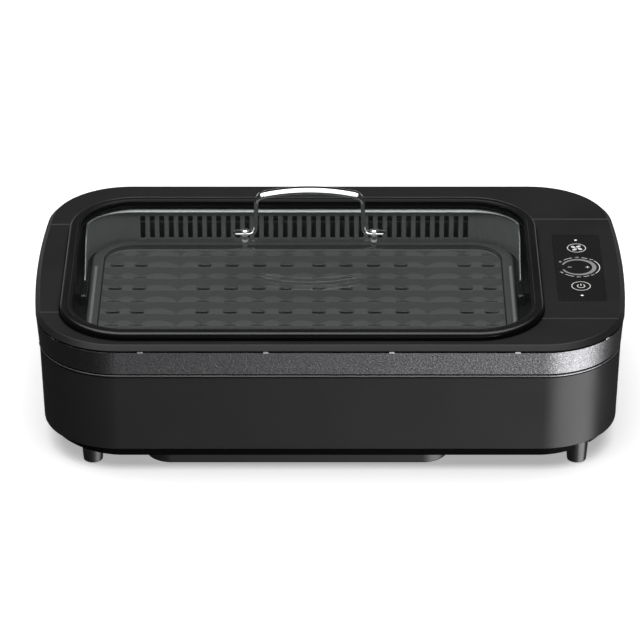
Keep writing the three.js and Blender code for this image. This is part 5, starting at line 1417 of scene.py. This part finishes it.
def make_signs():
    """Printed signs: fan key, temperature ring with its scale, minus, plus and power key."""
    sizes = bpy.context.scene.grill_controls
    x = (OVERLAY.left + OVERLAY.right) / 2
    fan, dial, power = ((x, y * MM) for y in (29.5, -9.2, -46.8))
    signs = [ring_band(key, sizes.key_ring, sizes.key_line) for key in (fan, power)]
    blade = [(3.4 + 2.6 * cos(a), 1.1 + 1.6 * sin(a)) for a in around(16)]
    signs += [printed(blade, fan, k * QUARTER + 0.7) for k in range(4)]
    ring = ring_band(dial, sizes.dial, sizes.dial_thin, -radians(161), radians(161), 96,
                     sizes.dial_wide - sizes.dial_thin)
    for start, end in ((-132, -106), (-80, -63), (-41, 41), (63, 80), (106, 132)):
        signs.append(ring_band(dial, sizes.scale, sizes.scale_line, radians(start),
                               radians(end), 24))
    for text, degrees in (("80", 147), ("120", 93), ("160", 52), ("200", -52), ("220", -93),
                          ("240", -147)):
        angle = radians(degrees)
        radius = sizes.scale - 0.1 * MM
        place = (dial[0] + radius * cos(angle), dial[1] + radius * sin(angle))
        signs.append(figures(text, place, angle - QUARTER if degrees > 0 else angle + QUARTER))
    bar = [(-1.9, -0.3), (1.9, -0.3), (1.9, 0.3), (-1.9, 0.3)]
    signs.append(printed(bar, (dial[0] - 8.3 * MM, dial[1])))
    plus = [(-1.8, -0.4), (-0.4, -0.4), (-0.4, -1.8), (0.4, -1.8), (0.4, -0.4), (1.8, -0.4),
            (1.8, 0.4), (0.4, 0.4), (0.4, 1.8), (-0.4, 1.8), (-0.4, 0.4), (-1.8, 0.4)]
    signs.append(printed(plus, (dial[0] + 8 * MM, dial[1])))
    signs.append(ring_band(power, 3.8 * MM, 0.8 * MM, radians(125), radians(415), 48))
    signs.append(printed([(-0.45, 0.6), (0.45, 0.6), (0.45, 4.3), (-0.45, 4.3)], power))
    settle(join("printed_signs", signs), "ink", "base", "lamp")
    settle(join("printed_dial", [ring]), "grey_ink", "base", "lamp")


def make_controls():
    """Film of the control strip, its lights and its prints."""
    sizes = bpy.context.scene.grill_controls
    film = loft("control_film", shape_rings(OVERLAY, [
        (1.5, FILM_FOOT, 0), (0, FILM_FOOT, 0.1), (0, 129.45, 0.15), (1.5, 129.45, 0)], 6))
    x = (OVERLAY.left + OVERLAY.right) / 2
    places = [(x, 45.9 * MM, 0), (x, -64.9 * MM, 0)]
    for place in places:
        hole = turned("hole", [(1.45, 120, 0), (1.45, 140, 0)], 24)
        combine(film, "DIFFERENCE", moved(hole, place))
    settle(film, "film", "base", "gloss_overlay", "control_overlay")
    radius = sizes.lens / MM
    lens = turned("lens", [(0.01, FILM_FOOT, 0), (radius, FILM_FOOT, 0), (radius, 129.3, 0.2),
                           (radius * 0.7, 129.55, 0.3), (0.01, 129.6, 0)], 24)
    settle(at_places("indicator_lights", lens, places), "lamp", "base", "lamp",
           "fan_light", "power_light")
    make_signs()
    dress("board", "control_board", "power_board")


def make_inlet():
    """Mains inlet: flanged shell with a rounded recess, and three pins."""
    low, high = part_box("power_inlet")
    centre = (low + high) / 2
    face, back = high.y, low.y
    half_x, half_z = (high.x - low.x) / 2, (high.z - low.z) / 2
    plug = (back - face) / MM
    rings = []
    # (Inset, distance from the face, corner radius): shell, flange, then the recess inside
    for inset, depth, radius in (
            (6, plug, 2), (2.4, plug, 2), (2.4, -1.2, 2), (0.3, -1.2, 3), (0, -0.9, 3),
            (0, -0.4, 3), (0.4, 0, 3), (4.9, 0, 2), (5.4, -0.5, 2), (5.4, plug + 3, 2),
            (8, plug + 3, 1)):
        shape = Rounded(-half_x + inset * MM, half_x - inset * MM, -half_z + inset * MM,
                        half_z - inset * MM, radius * MM)
        rings.append([(centre.x + x, face + depth * MM, centre.z + z)
                      for x, z in shape.outline(5)])
    settle(loft("mains_inlet", rings), "cover", "base", "dark_plastic", "power_inlet")
    dress("brass", *(f"inlet_pin_{i}" for i in range(1, 4)))


def make_air_path():
    """Finishes of the duct, the scroll, the fan and its motor."""
    dress("zinc", "smoke_duct", "fan_motor")
    dress("cover", "fan_scroll", "fan_impeller")


# Stage

# Name, place, target, two sides and power of each soft light, in metres and watts
LIGHTS = (
    ("top light", (-0.1, -0.05, 2.4), (-0.1, -0.05, 0), (3.6, 3.0), 100),
    ("right panel", (1.23, -0.93, -0.71), (0.22, -0.14, 0.06), (1.55, 1.1), 31),
    ("front panel", (0.35, -1.5, -0.75), (0, -0.16, 0.06), (1.2, 1.1), 2.4),
    ("back panel", (0, 2.0, 0.2), (0, 0, 0.1), (0.9, 0.26), 1.1),
    ("back left panel", (-1.1, 1.95, 0.3), (0, 0, 0.1), (0.8, 0.55), 1.3),
    ("back right panel", (1.1, 1.95, 0.3), (0, 0, 0.1), (0.8, 0.55), 1.0),
)


def aim(thing, place, target):
    """Sets a camera or a light at a place, looking at a target."""
    place = Vector(place)
    way = Vector(target) - place
    thing.matrix_world = Matrix.LocRotScale(place, way.to_track_quat("-Z", "Y"), None)


def make_lights():
    """Soft rectangular lights that the camera doesn't see."""
    for name, place, target, sides, power in LIGHTS:
        light = bpy.data.lights.new(name, "AREA")
        light.shape = "RECTANGLE"
        light.size, light.size_y = sides
        light.energy = power
        lamp = new_object(name, light)
        lamp.visible_camera = False
        aim(lamp, place, target)


def make_floor(sizes):
    """Plain pale floor."""
    half = sizes.floor / 2
    mesh = new_mesh("floor", [(-half, -half, 0), (half, -half, 0), (half, half, 0),
                              (-half, half, 0)], faces=[(0, 1, 2, 3)])
    floor = new_object("floor", mesh)
    colour = bpy.context.scene.grill_colours.floor
    # The floor glows a little, as a light table does, so that the shadow on it stays pale
    mesh.materials.append(finish_nodes(
        "Matt acrylic light table", colour, 0.8, Emission_Color=colour,
        Emission_Strength=0.45)[0])
    # The studio's low panels light the object from below the floor's line, past the floor
    floor.visible_glossy = floor.visible_shadow = False


def make_stage():
    """Camera, soft studio light and floor."""
    scene = bpy.context.scene
    sizes = scene.grill_studio
    camera = bpy.data.cameras.new("camera")
    camera.sensor_width, camera.lens, camera.shift_x = 36, sizes.focal, sizes.shift
    camera.clip_end = 50
    holder = new_object("camera", camera)
    target = Vector((0, 0, sizes.target))
    way = Vector((0, -cos(sizes.elevation), sin(sizes.elevation)))
    aim(holder, target + sizes.distance * way, target)
    scene.camera = holder
    make_floor(sizes)
    make_lights()
    world = bpy.data.worlds.new("studio")
    world.use_nodes = True
    sky = world.node_tree.nodes["Background"].inputs
    sky["Color"].default_value = linear("#f4f4f6")
    sky["Strength"].default_value = 0.045
    scene.world = world
    scene.view_settings.view_transform = "Standard"


# Operators and panel

def makers(*functions):
    """Execute function of an operator that runs these functions in turn."""
    def execute(self, context):
        for function in functions:
            function()
        return {"FINISHED"}
    return execute


class GRILL_OT_stage(bpy.types.Operator):
    """Add the camera, the soft light and the floor"""
    bl_idname = "grill.stage"
    bl_label = "Add Stage"
    execute = makers(make_stage)


class GRILL_OT_finishes(bpy.types.Operator):
    """Make the materials of all pieces"""
    bl_idname = "grill.finishes"
    bl_label = "Make Finishes"
    execute = makers(make_finishes)


class GRILL_OT_casing(bpy.types.Operator):
    """Build the casing, the bottom cover and the feet"""
    bl_idname = "grill.casing"
    bl_label = "Build Casing"
    execute = makers(make_shell, make_cover, make_feet)


class GRILL_OT_top(bpy.types.Operator):
    """Build the top panels and the trim band"""
    bl_idname = "grill.top"
    bl_label = "Build Top"
    execute = makers(make_panels, make_band)


class GRILL_OT_lid(bpy.types.Operator):
    """Build the lid with its glass and handle"""
    bl_idname = "grill.lid"
    bl_label = "Build Lid"
    execute = makers(make_rim, make_glass, make_handle, make_handle_fasteners)


class GRILL_OT_guard(bpy.types.Operator):
    """Build the smoke guard"""
    bl_idname = "grill.guard"
    bl_label = "Build Smoke Guard"
    execute = makers(make_guard)


class GRILL_OT_plate(bpy.types.Operator):
    """Build the cooking plate and its heating element"""
    bl_idname = "grill.plate"
    bl_label = "Build Plate"
    execute = makers(make_plate, make_element)


class GRILL_OT_cavity(bpy.types.Operator):
    """Build the cavity liner, the latches and the water tray"""
    bl_idname = "grill.cavity"
    bl_label = "Build Cavity"
    execute = makers(make_liner, make_latches, make_tray)


class GRILL_OT_controls(bpy.types.Operator):
    """Build the control strip, the inlet and the air path"""
    bl_idname = "grill.controls"
    bl_label = "Build Controls"
    execute = makers(make_controls, make_inlet, make_air_path)


GROUPS = {
    "grill_casing": GrillCasingSizes,
    "grill_top": GrillTopSizes,
    "grill_lid": GrillLidSizes,
    "grill_guard": GrillGuardSizes,
    "grill_plate": GrillPlateSizes,
    "grill_controls": GrillControlSizes,
    "grill_colours": GrillColours,
    "grill_studio": GrillStudioSizes,
}
OPERATORS = (
    GRILL_OT_stage, GRILL_OT_finishes, GRILL_OT_casing, GRILL_OT_top, GRILL_OT_lid,
    GRILL_OT_guard, GRILL_OT_plate, GRILL_OT_cavity, GRILL_OT_controls)


class GRILL_PT_sidebar(bpy.types.Panel):
    """Lists the grill's builders and sizes"""
    bl_label = "Smokeless Indoor Grill"
    bl_space_type = "VIEW_3D"
    bl_region_type = "UI"
    bl_category = "Grill"

    def draw(self, context):
        layout = self.layout
        for operator in OPERATORS:
            layout.operator(operator.bl_idname)
        for name, group in GROUPS.items():
            box = layout.box()
            box.label(text=group.__doc__)
            for key in group.__annotations__:
                box.prop(getattr(context.scene, name), key)


def register():
    """Registers the sizes, the operators and the panel."""
    for name, group in GROUPS.items():
        bpy.utils.register_class(group)
        setattr(bpy.types.Scene, name, bpy.props.PointerProperty(type=group))
    for item in (*OPERATORS, GRILL_PT_sidebar):
        bpy.utils.register_class(item)


def unregister():
    """Removes the panel, the operators and the sizes."""
    for item in (GRILL_PT_sidebar, *reversed(OPERATORS)):
        bpy.utils.unregister_class(item)
    for name, group in reversed(GROUPS.items()):
        delattr(bpy.types.Scene, name)
        bpy.utils.unregister_class(group)


def main():
    """Builds the whole grill."""
    register()
    for operator in OPERATORS:
        group, name = operator.bl_idname.split(".")
        getattr(getattr(bpy.ops, group), name)()


if __name__ == "__main__":
    main()
